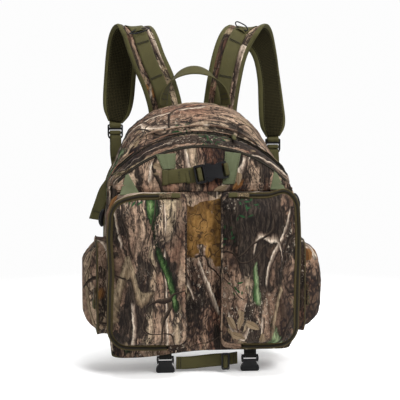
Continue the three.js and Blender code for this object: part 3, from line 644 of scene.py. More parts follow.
def webbing(name, dark, light, pitch=0.0016, worn=0.25):
    """Ribbed webbing. pat x runs across the band and y along it."""
    m = Mat(name)
    p = m.pat()
    x, y = m.split(p)[:2]
    rib = m.math("SINE", m.mul(y, 2 * math.pi / pitch))
    row = m.math("SINE", m.mul(x, 2 * math.pi / (pitch * 1.7)))
    height = m.add(m.mul(rib, 0.6), m.mul(row, 0.35))
    broad = m.noise(p, scale=38, detail=4)
    colour = m.mix(broad, dark, light)
    thread = m.add(0.80, m.mul(m.mul(rib, row), 0.16))
    colour = m.mix(
        1.0, colour, m.node("ShaderNodeCombineColor", i0=thread, i1=thread, i2=thread).outputs[0], "MULTIPLY"
    )
    fuzz = m.noise(p, scale=1400, detail=2)
    colour = m.mix(m.mul(m.step(fuzz, 0.55, 0.75), worn), colour, tuple(v * 1.7 for v in light))
    return m.finish(
        colour, m.add(0.66, m.mul(broad, 0.22)), m.bump(height, 0.6, 0.0004), sheen=0.04, spec=0.2
    )


def cloth(name, dark, light, pitch=0.0012, rough=0.7, sheen=0.1, strength=0.4):
    m = Mat(name)
    p = m.pat()
    broad = m.noise(p, scale=22, detail=5, rough=0.6)
    colour = m.mix(broad, dark, light)
    fine = m.noise(p, scale=1100, detail=2)
    colour = m.mix(
        0.22, colour, m.ramp(fine, [(0.3, (0.55, 0.55, 0.55)), (0.7, (1.3, 1.3, 1.3))]), "MULTIPLY"
    )
    height = m.add(weave_height(m, p, pitch), m.mul(fine, 0.6))
    return m.finish(
        colour, m.add(rough, m.mul(broad, 0.15)), m.bump(height, strength, 0.0004), sheen=sheen, spec=0.3
    )


def spacer_mesh(name):
    """Open-hole padded mesh."""
    m = Mat(name)
    p = m.pat()
    cells = m.voronoi(m.scaled(p, (330, 330, 1)), randomness=0.15)
    hole = m.step(cells, 0.30, 0.48)
    broad = m.noise(p, scale=15, detail=4)
    thread = m.mix(broad, (0.019, 0.016, 0.0068), (0.034, 0.029, 0.0125))
    # The holes are painted near black: painted shade inside the mesh.
    colour = m.mix(hole, (0.004, 0.0035, 0.0015), thread)
    return m.finish(colour, 0.9, m.bump(hole, 0.7, 0.0007), sheen=0.0, spec=0.06)


def plastic(name):
    """Moulded acetal, finely grained, with light scuffs."""
    m = Mat(name)
    p = m.place()
    grain = m.noise(p, scale=2600, detail=2)
    cloud = m.noise(p, scale=60, detail=4)
    scuff = m.ridge(m.noise(m.scaled(p, (90, 500, 260)), detail=3, rough=0.7), 0.012)
    colour = m.mix(cloud, (0.0030, 0.0030, 0.0035), (0.0075, 0.0075, 0.0085))
    colour = m.mix(m.mul(scuff, 0.3), colour, (0.026, 0.026, 0.028))
    rough = m.add(0.26, m.mul(cloud, 0.20))
    return m.finish(colour, rough, m.bump(grain, 0.12, 0.0002), spec=0.22)


def metal(name):
    """Antique brass casting: dark in the hollows, rubbed bright on the high spots."""
    m = Mat(name)
    p = m.place()
    cloud = m.noise(p, scale=420, detail=5, rough=0.65)
    colour = m.ramp(
        cloud, [(0.35, (0.022, 0.016, 0.010)), (0.55, (0.10, 0.072, 0.040)), (0.72, (0.34, 0.26, 0.15))]
    )
    return m.finish(colour, m.add(0.28, m.mul(cloud, 0.3)), m.bump(cloud, 0.25, 0.0003), metal=0.85)


CAMO = camo("woodland_camo")
OLIVE_WEB = webbing("olive_webbing", (0.046, 0.041, 0.013), (0.082, 0.072, 0.023))
BLACK_WEB = webbing("black_webbing", (0.006, 0.006, 0.005), (0.018, 0.017, 0.014))
BINDING = webbing("olive_binding", (0.048, 0.044, 0.013), (0.084, 0.076, 0.024), pitch=0.0011)
ZIP_BAND = webbing("zip_binding", (0.042, 0.031, 0.009), (0.082, 0.061, 0.019), pitch=0.0011)
SAGE = cloth("sage_nylon", (0.064, 0.075, 0.034), (0.096, 0.110, 0.053), rough=0.6, sheen=0.04)
LINING = cloth("coated_lining", (0.030, 0.030, 0.018), (0.050, 0.048, 0.030), rough=0.5, sheen=0.0)
MESH = spacer_mesh("spacer_mesh")
PLASTIC = plastic("black_acetal")
METAL = metal("antique_brass")
# Near-black zip coil; also the painted shadow bands under the storm flap and organiser lip, and along the
# upper panel's top seam.
COIL_AND_SHADOW_BAND = webbing("zip_coil", (0.008, 0.006, 0.003), (0.022, 0.017, 0.008), pitch=0.0022, worn=0.05)
THREAD = webbing("stitch_thread", (0.040, 0.036, 0.012), (0.075, 0.068, 0.026), pitch=0.0008, worn=0.1)
DARK_THREAD = webbing("dark_thread", (0.016, 0.014, 0.010), (0.035, 0.030, 0.020), pitch=0.0008, worn=0.1)
CORD = webbing("elastic_cord", (0.008, 0.008, 0.009), (0.022, 0.022, 0.024), pitch=0.0012, worn=0.15)
BOARD = cloth(
    "moulded_board", (0.016, 0.016, 0.017), (0.026, 0.026, 0.028), rough=0.45, sheen=0.0, strength=0.1
)


# ---------------------------------------------------------------- the bag's outlines, as in the CAD
HALF, TOP, SPRING, SPLIT = 0.174, 0.454, 0.250, 0.300
MAIN_ARC = {"z": 0.186, "r": 0.210, "end": 52.0}
ORG_ARC = {"z": 0.157, "r": 0.218, "end": 45.3}


def rear_arch(count):
    rise = TOP - SPRING
    low = (SPLIT - SPRING) / rise
    start = math.asin(low ** (2.05 / 2))
    a = np.linspace(start, math.pi - start, 400)
    c = np.cos(a)
    x = -np.sign(c) * HALF * np.abs(c) ** (2 / 2.05)
    z = SPRING + rise * np.sin(a) ** (2 / 2.05)
    draw = np.sin(np.pi * (z - SPLIT) / (TOP - SPLIT)) ** 2
    return resample(np.stack([x * (1 - 0.06 * draw), z], 1), count)


def zip_arch(arc, foot, count, low=SPLIT):
    a = np.radians(np.linspace(-arc["end"], arc["end"], 200))
    r = arc["r"]
    pts = np.stack([r * np.sin(a), arc["z"] + r * np.cos(a)], 1)
    pts = np.vstack([[-foot, low], pts, [foot, low]])
    return resample(pts, count)


def side_x(z):
    return HALF - 0.006 * ((z - 0.160) / 0.157) ** 2


# ---------------------------------------------------------------- fabric shaping
def creases(p, scale, seed, sharp=2.0, stretch=(1, 1, 1)):
    """Fabric folds, 0 to 1: rounded swells between narrower valleys."""
    q = np.asarray(p) * np.asarray(stretch)
    warp = xyz(
        noise(q, scale * 0.6, seed + 5), noise(q, scale * 0.6, seed + 9), noise(q, scale * 0.6, seed + 13)
    )
    n = noise(q + warp * 0.45 / scale, scale, seed)
    return np.abs(np.clip(n * 1.9, -1, 1)) ** (1 / sharp)


def rumple(p, amount, scale=16, seed=0, stretch=(1, 1, 1)):
    """How far fabric stands off its plain shape, with mean near zero."""
    broad = creases(p, scale, seed, 1.4, stretch) - 0.45
    fine = creases(p, scale * 2.7, seed + 3, 1.7, stretch) - 0.45
    return amount * (broad + 0.42 * fine)


def shell_outline(squeeze, y_high, y_low, count_side, arch):
    """One station round the bag: up the left side, over the top and down the right side."""
    z = np.concatenate(
        [np.array([0.0034, 0.006, 0.010, 0.016]), np.linspace(0.026, 0.290, count_side), [0.2945, 0.2985]]
    )
    inset = np.where(z < 0.020, 0.012 * (1 - np.sqrt(np.clip(1 - ((0.020 - z) / 0.0175) ** 2, 0, 1))), 0)
    x = side_x(z) - inset
    y = y_low + (y_high - y_low) * smooth(0.286, 0.3005, z)
    left = xyz(-x, y, z)
    a = arch.copy()
    a[:, 1] = SPLIT + (a[:, 1] - SPLIT) * squeeze
    top = xyz(a[:, 0], y_high, a[:, 1])
    right = left[::-1] * [-1, 1, 1]
    return np.concatenate([left, top, right])


def droop(p):
    """The base hangs lower at its front, most on the left."""
    x, y, z = p[..., 0], p[..., 1], p[..., 2]
    drop = (0.0020 + 0.0115 * smooth(0.01, -0.13, x)) * smooth(0.02, -0.045, y) * smooth(0.034, 0.002, z)
    return p - xyz(0 * x, 0 * x, drop)


ARCH_N = 110
REAR_ARCH = rear_arch(ARCH_N)
FRONT_ARCH = zip_arch(MAIN_ARC, 0.168, ARCH_N)
# y above the fold line, y below it, share of the way to the zip arc, top squeeze
STATIONS = np.array([
    [0.0947, 0.0947, 0.0, 0.945],
    [0.075, 0.060, 0.0, 1.0],
    [0.045, 0.020, 0.1, 1.0],
    [0.015, -0.010, 0.6, 1.0],
    [-0.0025, -0.035, 1.0, 1.0],
    [-0.012, -0.057, 1.0, 1.0],
])


def bag_grid(count):
    """The bag's surface from back to front, as rows of stations."""
    t = np.linspace(0, 5, count)
    rows = []
    for v in t:
        i = min(int(v), 4)
        u = v - i
        near = [STATIONS[max(i - 1, 0)], STATIONS[i], STATIONS[i + 1], STATIONS[min(i + 2, 5)]]
        y_high, y_low, share, squeeze = catmull(*near, u)
        arch = REAR_ARCH + (FRONT_ARCH - REAR_ARCH) * np.clip(share, 0, 1)
        rows.append(shell_outline(min(squeeze, 1.0), y_high, y_low, 34, arch))
    return np.array(rows)


def bag_shell():
    p = bag_grid(56)
    edge = np.minimum(np.linspace(0, 1, len(p)), np.linspace(1, 0, len(p)))[:, None] * 2
    # The left shoulder of the dome is the fuller one.
    height = np.clip((p[..., 2] - 0.325) / 0.130, 0, 1)
    fuller = 0.010 * np.sin(np.pi * height) ** 2 * smooth(-0.03, -0.09, p[..., 0]) * smooth(0.0, 0.5, edge)
    p = turned(UP, p + xyz(-fuller, 0 * fuller, fuller * 0.5))
    nor = grid_normals(p)
    hold = smooth(0.0, 0.16, edge)
    high = smooth(0.30, 0.36, p[..., 2])
    stretch = np.where(high[..., None] > 0.5, [0.8, 1.6, 1.6], [1.4, 1.0, 0.7])
    bump = rumple(p * stretch, 0.0042, 17, 3) * hold
    sag = -0.0035 * smooth(0.42, 0.45, p[..., 2]) * (0.5 + 0.5 * np.cos(p[..., 0] * 40))
    # The cloth stands up along the piped seam and dips in front of it.
    ridge_rows, ridge_rise = [33, 36, 37.5, 39, 41, 45], [0, 0.0016, 0.0030, -0.0004, -0.0024, 0]
    ridge = np.interp(np.arange(len(p)), ridge_rows, ridge_rise)[:, None]
    ridge = ridge * smooth(0.36, 0.40, p[..., 2]) * (0.75 + 0.5 * noise(p, 12, 55))
    q = droop(p + nor * (bump + sag * hold + ridge)[..., None])
    across = arc_length(p[28])
    along = arc_length(p[:, p.shape[1] // 2])
    lift = smooth(0.33, 0.38, p[..., 2])
    pat = xyz(along[:, None] + 0.31, across[None, :], 0.42 * lift - 0.36)
    piece = Piece("bag_shell")
    piece.sheet(q, CAMO, 0.0028, pat, inner=LINING)
    # The piped seam that runs over the dome, and the binding round the back edge.
    row = 37
    path = (q[row] + nor[row] * 0.0006)[36:-36]
    piece.tube(path, 0.0020, CAMO, sides=8)
    back = q[1, 2:-2] + nor[1, 2:-2] * 0.0003
    piece.tube(back, 0.0019, BINDING, sides=8)
    return piece.build("pack", ("main_gusset",))


def rounded_plate(
    name, edges, radii, y_front, y_back, mat, body, nodes, bump, grid, offset=(0, 0), tone=None
):
    """A sheet in X and Z with round corners (low left, low right, high right, high left).

    bump and tone are functions of place: how far the cloth stands out, and the tone of its print.
    """
    X, Z, d = rounded_grid(*edges, radii, *grid)
    p = droop(xyz(X, y_front - bump(X, Z, d), Z))
    pat = xyz(X + offset[0], Z + offset[1], 0 * X + (tone(X, Z) if tone else -0.85))
    p, pat = turned(FRONT, p, pat, axis=0)
    piece = Piece(name)
    piece.sheet(p, mat, y_back - y_front, pat, inner=LINING if mat is CAMO else None)
    return piece.build(body, nodes)


def corner_radius(left, low, radii):
    """The radius of the nearest corner. radii are low left, low right, high right, high left."""
    return np.where(low, np.where(left, radii[0], radii[1]), np.where(left, radii[3], radii[2]))


def rect_sdf(x, z, x0, x1, z0, z1, radii):
    """Distance inside the outline of a round-cornered rectangle."""
    cx, cz = (x0 + x1) / 2, (z0 + z1) / 2
    r = corner_radius(x < cx, z < cz, radii)
    qx = np.abs(x - cx) - (x1 - x0) / 2 + r
    qz = np.abs(z - cz) - (z1 - z0) / 2 + r
    out = np.hypot(np.maximum(qx, 0), np.maximum(qz, 0))
    return -(out + np.minimum(np.maximum(qx, qz), 0) - r)


def rounded_grid(x0, x1, z0, z1, radii, nx, nz, bunch=0.35):
    """A grid that fills a round-cornered rectangle, denser near its edges: x, z and distance inside."""

    def axis(n):
        t = np.linspace(-1, 1, n)
        return t * (1 - bunch) + bunch * np.sin(t * math.pi / 2)

    A, B = np.meshgrid(axis(nx), axis(nz), indexing="ij")
    hx, hz = (x1 - x0) / 2, (z1 - z0) / 2
    cx, cz = (x0 + x1) / 2, (z0 + z1) / 2
    s = np.maximum(np.abs(A), np.abs(B))
    ba, bb = A / np.maximum(s, 1e-9) * hx, B / np.maximum(s, 1e-9) * hz
    r = corner_radius(ba < 0, bb < 0, radii)
    ex, ez = np.abs(ba) - (hx - r), np.abs(bb) - (hz - r)
    corner = (ex > 0) & (ez > 0)
    length = np.maximum(np.hypot(ex, ez), 1e-9)
    nxp = np.where(corner, np.sign(ba) * (hx - r + r * ex / length), ba)
    nzp = np.where(corner, np.sign(bb) * (hz - r + r * ez / length), bb)
    k = s**3
    X = cx + A * hx + k * (nxp - ba)
    Z = cz + B * hz + k * (nzp - bb)
    return X, Z, np.maximum(rect_sdf(X, Z, x0, x1, z0, z1, radii), 0)


def rounded_outline(x0, x1, z0, z1, radii, spacing=0.003):
    """A closed outline, anticlockwise from the low left corner's left end."""
    pts = []
    for cx, cz, start, r in (
        (x0 + radii[0], z0 + radii[0], 180, radii[0]),
        (x1 - radii[1], z0 + radii[1], 270, radii[1]),
        (x1 - radii[2], z1 - radii[2], 0, radii[2]),
        (x0 + radii[3], z1 - radii[3], 90, radii[3]),
    ):
        for a in np.radians(np.linspace(start, start + 90, 13)):
            pts.append([cx + r * math.cos(a), cz + r * math.sin(a)])
    pts = np.array(pts + [pts[0]])
    count = int(np.linalg.norm(np.diff(pts, axis=0), axis=1).sum() / spacing)
    return resample(pts, count)[:-1]


# ---------------------------------------------------------------- cloth
SIM_SCALE = 10
SIM_FRAMES = 20


def inflate(grid, pinned, cap, pressure, shrink):
    """Runs Blender's Cloth on a grid of points and returns them moved, at most cap from where they began."""
    verts = grid.reshape(-1, 3)
    mesh = bpy.data.meshes.new("cloth_tmp")
    mesh.from_pydata((verts * SIM_SCALE).tolist(), [], grid_faces(*grid.shape[:2]))
    obj = bpy.data.objects.new("cloth_tmp", mesh)
    scene = bpy.context.scene
    scene.collection.objects.link(obj)
    group = obj.vertex_groups.new(name="pin")
    group.add([int(i) for i in np.nonzero(pinned.ravel())[0]], 1.0, "REPLACE")
    mod = obj.modifiers.new("cloth", "CLOTH")
    st = mod.settings
    st.vertex_group_mass = "pin"
    st.use_pressure = True
    st.uniform_pressure_force = pressure
    st.quality = 6
    st.mass = 0.25
    st.tension_stiffness = st.compression_stiffness = 12.0
    st.shear_stiffness = 4.0
    st.bending_stiffness = 0.4
    st.shrink_min = shrink
    st.effector_weights.gravity = 0.0
    mod.collision_settings.use_collision = False
    mod.point_cache.frame_start, mod.point_cache.frame_end = 1, SIM_FRAMES
    for f in range(1, SIM_FRAMES + 1):
        scene.frame_set(f)
    got = obj.evaluated_get(bpy.context.evaluated_depsgraph_get())
    out = np.empty(len(verts) * 3)
    got.data.vertices.foreach_get("co", out)
    out = out.reshape(-1, 3) / SIM_SCALE
    scene.frame_set(1)
    bpy.data.objects.remove(obj)
    bpy.data.meshes.remove(mesh)
    move = out - verts
    far = np.linalg.norm(move, axis=1, keepdims=True)
    out = verts + move * np.minimum(1, cap / np.maximum(far, 1e-9)) * (far < 0.2)
    return np.where(np.isfinite(out), out, verts).reshape(grid.shape)


def grid_faces(n, m):
    corners = ((i * m + j, (i + 1) * m + j) for i in range(n - 1) for j in range(m - 1))
    return [(a, a + 1, b + 1, b) for a, b in corners]


# ---------------------------------------------------------------- zips
def zip_strip(piece, path, out, across, half, tape_mat):
    """A zip along path: tape and coil. out and across are unit vectors at each point."""
    piece.strap(path + out * 0.0004, across * half, 0.0008, tape_mat, columns=4)
    piece.strap(path + out * 0.0014, across * 0.0019, 0.0013, COIL_AND_SHADOW_BAND, crown=0.0004, columns=4)


def ring_faces(low, high):
    """The four sides between two rings of four corners."""
    return [(low + k, low + (k + 1) % 4, high + (k + 1) % 4, high + k) for k in range(4)]


STITCH_FACES = [(3, 2, 1, 0)] + ring_faces(0, 4) + ring_faces(4, 8) + [(8, 9, 10, 11)]


def quad(start, stop, half):
    return [start - half, start + half, stop + half, stop - half]


def stitches(piece, path, out, mat=None):
    """A row of stitches lying on a surface along path."""
    length, gap, width = 0.0032, 0.0016, 0.00045
    along = arc_length(path)
    nor = np.broadcast_to(out, path.shape)

    def at(s, values):
        return np.array([np.interp(s, along, values[:, c]) for c in range(3)])

    for i in range(int(along[-1] / (length + gap))):
        s = (i + 0.5) * (length + gap)
        start, stop = at(s - length / 2, path), at(s + length / 2, path)
        n = unit(at(s, nor))
        t = unit(stop - start)
        side = np.cross(t, n)
        rise = n * width
        middle = (start + stop) / 2 + rise * 0.9
        ring = quad(start, stop, side * width * 0.6)
        top = quad(middle - t * length * 0.32, middle + t * length * 0.32, side * width * 0.7)
        verts = [v - rise * 0.6 for v in ring] + ring + top
        piece.add(verts, STITCH_FACES, mat or THREAD, np.array(verts) - start + [0, s, 0])


# ---------------------------------------------------------------- main bag
bag_shell()

PANEL_FOOT_Y, PANEL_TOP_Y, FLAP_LOW = -0.062, -0.0528, 0.3015


def panel_y(x, z, swell=True):
    """The outside of the upper front panel at x and z."""
    head = ORG_ARC["z"] + np.sqrt(np.maximum(ORG_ARC["r"] ** 2 - np.square(x), 1e-6))
    t = (z - FLAP_LOW) / (head - FLAP_LOW)
    y = PANEL_FOOT_Y + (PANEL_TOP_Y - PANEL_FOOT_Y) * t
    if swell:
        y = y - 0.0026 * np.sin(np.pi * np.clip(t, 0, 1)) * smooth(0.156, 0.11, np.abs(x))
    return y


def front_channel():
    """The panel behind the front pockets, which shows between them."""

    def swell(x, z, d):
        middle = np.exp(-((x / 0.026) ** 2))
        fold = rumple(xyz(x * 1.6, 0 * x, z * 0.7), 0.0042, 26, 31)
        return (0.006 * middle * smooth(0, 0.05, z) + fold * (0.4 + middle)) * smooth(0, 0.02, d)

    def gold(x, z):
        """The golden patch fills the upper half of the channel."""
        # Outside the patch the tone is -0.85: a darker print, partly real print and partly painted shade for
        # the recess between the pockets.
        return 3.15 * smooth(0.110, 0.215, z) * smooth(0.302, 0.262, z) * smooth(
            0.050, 0.040, np.abs(x)
        ) - 0.85

    edges, radii = (-0.166, 0.166, 0.001, 0.300), (0.02, 0.02, 0.002, 0.002)
    rounded_plate("front_channel_panel", edges, radii, -0.0598, -0.0573, CAMO, "pack", ("front_panel",),
                  swell, (130, 110), (0.62, 0.35), gold)


front_channel()


def base_panel():
    """The base, with the rolled lip that shows under the front pockets."""
    X, Z, d = rounded_grid(-0.164, 0.164, -0.0565, 0.0945, [0.022] * 4, 70, 40)
    sag = 0.0022 * smooth(0, 0.04, d) + rumple(xyz(X, Z, 0 * X), 0.0016, 22, 41)
    p = droop(xyz(X, Z, 0.0006 - sag * smooth(0, 0.015, d)))
    p, X, Z = turned((0, 0, -1.0), p, X, Z, axis=0)
    piece = Piece("base_panel")
    piece.sheet(p, CAMO, 0.0022, xyz(X + 1.1, Z + 0.2, 0 * X), inner=LINING)
    outline = rounded_outline(-0.165, 0.165, -0.0568, 0.0944, [0.022] * 4)
    ring = droop(xyz(outline[:, 0], outline[:, 1], 0.0022))
    piece.tube(ring, 0.0022, BINDING, sides=8, closed=True)
    piece.build("pack", ("bottom_panel",))


base_panel()


def inner_sheets():
    def swell(x, z, d):
        return rumple(xyz(x, 0 * x, z), 0.0015, 15, 51) * smooth(0, 0.02, d)

    edges, radii = (-0.160, 0.160, 0.004, 0.299), (0.015, 0.015, 0.002, 0.002)
    rounded_plate("organiser_divider", edges, radii, -0.015, -0.013, LINING, "pack", ("divider",),
                  swell, (50, 50))


inner_sheets()


def back_outline(squeeze, inset, count):
    z = np.linspace(0.0034 + inset, 0.298, 40)
    left = np.stack([-side_x(z) + inset, z], 1)
    a = REAR_ARCH.copy()
    a[:, 1] = SPLIT + (a[:, 1] - SPLIT) * squeeze - inset
    a[:, 0] *= 1 - inset / HALF
    pts = np.concatenate([left, a, left[::-1] * [-1, 1]])
    return resample(pts, count)


def outline_sheet(outline, y_of, rings):
    """A grid that fills a left-right symmetric outline, from its left side to its right side."""
    n = len(outline) // 2
    left, right = outline[:n], outline[::-1][:n]
    t = np.linspace(0, 1, rings)[None, :, None]
    g = left[:, None] * (1 - t) + right[:, None] * t
    return xyz(g[..., 0], y_of(g[..., 0], g[..., 1]), g[..., 1])


def back_panel():
    outline = back_outline(0.945, 0.0006, 241)
    p = outline_sheet(outline, lambda x, z: 0.0979 + rumple(xyz(x, 0 * x, z), 0.0004, 18, 61), 60)
    p = turned(BACK, p)
    piece = Piece("back_panel_fabric")
    olive = cloth("olive_pack_cloth", (0.052, 0.050, 0.019), (0.082, 0.078, 0.032))
    piece.sheet(p, olive, 0.0024, p[..., [0, 2, 1]], inner=LINING)
    ring = back_outline(0.945, 0.0022, 300)
    piece.tube(xyz(ring[:, 0], 0.0986, ring[:, 1]), 0.0021, BINDING, sides=8)
    piece.build("pack", ("back_panel",))


back_panel()


def back_pad():
    """The quilted mesh pad: swollen by cloth, then sewn down along its channels."""
    half, low, high = 0.138, 0.022, 0.400
    radii = (0.03, 0.03, 0.05, 0.05)
    front, face = 0.0986, 0.1136
    X, Z, d = rounded_grid(-half, half, low, high, radii, 80, 110)
    rise = 0.0088 * (1 - (1 - np.clip(d / 0.022, 0, 1)) ** 2.4) ** 0.6
    moved = inflate(xyz(X, front + rise, Z), d < 1e-4, 0.006, pressure=3, shrink=-0.02)
    moved[..., 1] = np.maximum(moved[..., 1], front + 0.0002)
    x, z = moved[..., 0], moved[..., 2]
    seams = [np.abs(x - at * (1 + 0.25 * (z - 0.2))) for at in (-0.046, 0.046)]
    for at, bow in ((0.105, 0.02), (0.185, 0.05), (0.265, 0.05), (0.340, 0.05)):
        seams.append(np.abs(z - at - bow * (np.abs(x) / half) ** 2))
    near = np.min(seams, axis=0)
    groove = 0.0052 * np.exp(-((near / 0.0075) ** 2)) * smooth(0.004, 0.02, d)
    moved[..., 1] = np.clip(moved[..., 1] - groove, front + 0.0003, face)
    moved, X, Z = turned(BACK, moved, X, Z, axis=0)
    piece = Piece("back_pad_mesh")
    piece.sheet(moved, MESH, 0.0006, xyz(X, Z, 0 * X))
    outline = rounded_outline(-half, half, low, high, radii)
    piece.tube(xyz(outline[:, 0], 0.1000, outline[:, 1]), 0.0027, BINDING, sides=8, closed=True)
    piece.build("pack", ("back_pad",))


back_pad()


# ---------------------------------------------------------------- arcs over the dome
def arc_points(arc, degrees, lift, y):
    a = np.radians(np.asarray(degrees, float))
    r = arc["r"] + np.asarray(lift, float)
    x, z = r * np.sin(a), arc["z"] + r * np.cos(a)
    return xyz(x, y, z)


def arc_frame(degrees):
    a = np.radians(np.asarray(degrees, float))
    return xyz(np.sin(a), 0 * a, np.cos(a))


def main_zip():
    deg = np.linspace(-51, 51, 150)
    out = arc_frame(deg)
    piece = Piece("main_zip_and_shadow_band")
    # The tape is near black: a painted shadow band under the storm flap, round the real coil.
    zip_strip(piece, arc_points(MAIN_ARC, deg, 0.0004, -0.0085), out, np.array([0, 1.0, 0]), 0.0042, COIL_AND_SHADOW_BAND)
    piece.build("pack", ("main_zip",))


def storm_flap():
    """The strip of cloth that shades the main zip."""
    deg = np.linspace(-53, 53, 150)
    rows = []
    for y, lift in ((0.012, 0.0012), (0.006, 0.0026), (0.001, 0.0046), (-0.0022, 0.0054), (-0.0046, 0.0048)):
        wave = 0.0006 * noise(xyz(deg * 0.6, 0 * deg, 0 * deg), 0.35, 5)
        ends = smooth(-53, -46, deg) * smooth(53, 46, deg)
        rows.append(arc_points(MAIN_ARC, deg, 0.0006 + (lift + wave) * ends, y + 0 * deg))
    p = np.array(rows)
    across = arc_length(p[0])
    pat = xyz(np.linspace(0, 0.02, len(p))[:, None] + 0.9, across[None], 0.0)
    p, pat = turned(UP, p, pat)
    piece = Piece("main_storm_flap")
    piece.sheet(p, CAMO, 0.0012, pat, inner=LINING)
    out = arc_frame(deg if p[0, 0, 0] < 0 else deg[::-1])
    stitches(piece, p[1] + out * 0.0002, out)
    piece.build("pack")


main_zip()
storm_flap()

FLAP_BACK = zip_arch({**MAIN_ARC, "r": MAIN_ARC["r"] - 0.0008}, 0.167, 150, FLAP_LOW)
FLAP_FRONT = zip_arch(ORG_ARC, 0.156, 150, FLAP_LOW + 0.003)


def organiser_band():
    """The gathered band between the two zip arcs."""
    share = np.array([0, 0.10, 0.22, 0.34, 0.46, 0.58, 0.70, 0.80, 0.88, 0.94, 1.0])
    ys = [-0.0155, -0.0180, -0.0215, -0.0250, -0.0285, -0.0320, -0.0355, -0.0390, -0.0415, -0.0430, -0.0445]
    rows = []
    for s, y in zip(share, ys):
        mix = FLAP_BACK + (FLAP_FRONT - FLAP_BACK) * s**1.15
        rows.append(xyz(mix[:, 0], y, mix[:, 1]))
    front_y = panel_y(FLAP_FRONT[:, 0], FLAP_FRONT[:, 1], False) + 0.0044
    rows.append(xyz(FLAP_FRONT[:, 0], front_y, FLAP_FRONT[:, 1]))
    p = np.array(rows)
    fine = []
    for k in range(len(p) - 1):
        fine += [p[k], (p[k] + p[k + 1]) / 2]
    p = np.array(fine + [p[-1]])
    p = turned(UP, p)
    nor = grid_normals(p)
    s = np.linspace(0, 1, len(p))[:, None]
    across = arc_length(p[8])[None]
    q = xyz(across * 1.0, s * 0.05, 0.0)
    gather = creases(q * [1, 0.35, 1], 62, 71, 1.3) - 0.5
    swell = 0.0042 * np.sin(np.pi * np.clip(s, 0, 1)) ** 0.8
    slack = (0.0040 * gather + 0.0022 * (creases(q, 30, 75) - 0.5)) * np.sin(np.pi * s) ** 0.6
    p = p + nor * (swell + slack)[..., None]
    pat = xyz(s * 0.062 + 1.7, across, 0.0)
    piece = Piece("organiser_band")
    piece.sheet(p, CAMO, 0.0024, pat, inner=LINING)
    piece.build("organiser_flap", ("organiser_gusset",))


organiser_band()


def organiser_zip():
    deg = np.linspace(-44.5, 44.5, 130)
    out = arc_frame(deg)
    piece = Piece("organiser_zip_and_shadow_band")
    # The tape is near black: a painted shadow band under the organiser lip.
    zip_strip(piece, arc_points(ORG_ARC, deg, 0.0005, -0.0462), out, np.array([0, 1.0, 0]), 0.0040, COIL_AND_SHADOW_BAND)
    steps = ((-0.0405, 0.0012), (-0.0418, 0.0028), (-0.0424, 0.0036))
    lip = np.array([arc_points(ORG_ARC, deg, lift, y) for y, lift in steps])
    lip = turned(UP, lip)
    piece.sheet(lip, CAMO, 0.0010, xyz(np.linspace(0, 0.01, 3)[:, None] + 1.8, arc_length(lip[0])[None], 0.0))
    piece.build("organiser_flap", ("organiser_zip",))


organiser_zip()


def upper_panel():
    t = np.linspace(0, 1, 34)[:, None]
    x, head = FLAP_FRONT[None, :, 0], FLAP_FRONT[None, :, 1]
    z = FLAP_LOW + (head - FLAP_LOW) * t
    x = x + 0 * t
    folds = rumple(xyz(x, 0 * x, z), 0.0022, 26, 21) * 0.35 * np.sin(np.pi * t) ** 0.7
    p = turned(FRONT, xyz(x, panel_y(x, z) - folds * smooth(0, 0.02, head - FLAP_LOW), z))
    piece = Piece("upper_front_panel_cloth")
    piece.sheet(p, CAMO, 0.0020, p[..., [0, 2, 1]] * [1, 1, 0] + [2.3, 0.5, 0.1], inner=LINING)
    # A near-black tube along the top edge: a painted shadow line at the seam under the organiser band.
    top = p[-1, 3:-3] + [0, -0.0004, -0.0006]
    piece.tube(top, 0.0015, COIL_AND_SHADOW_BAND, sides=8)
    piece.build("organiser_flap", ("upper_front_panel",))


upper_panel()


def flap_liner():
    back = FLAP_BACK[::-1] if FLAP_BACK[0, 0] > 0 else FLAP_BACK
    out = np.stack([back[:, 0] * 0.93, FLAP_LOW + 0.001 + (back[:, 1] - FLAP_LOW - 0.001) * 0.9], 1)
    p = outline_sheet(out, lambda x, z: -0.0162 + rumple(xyz(x, 0 * x, z), 0.0012, 18, 81), 40)
    p = turned(BACK, p)
    piece = Piece("flap_liner_cloth")
    piece.sheet(p, LINING, 0.0014, p[..., [0, 2, 1]])
    piece.build("organiser_flap", ("flap_liner",))


flap_liner()


def on_panel(corners, lift, columns, lines, crease=0.0):
    """A grid on the upper front panel between four corners (x, z), anticlockwise from the low left."""
    c = np.array(corners, float)
    u = np.linspace(0, 1, columns)[None, :, None]
    v = np.linspace(0, 1, lines)[:, None, None]
    g = (c[0] * (1 - u) + c[1] * u) * (1 - v) + (c[3] * (1 - u) + c[2] * u) * v
    y = panel_y(g[..., 0], g[..., 1]) - lift - crease * np.exp(-(((u[..., 0] - 0.5) / 0.09) ** 2))
    return turned(FRONT, xyz(g[..., 0], y, g[..., 1]))


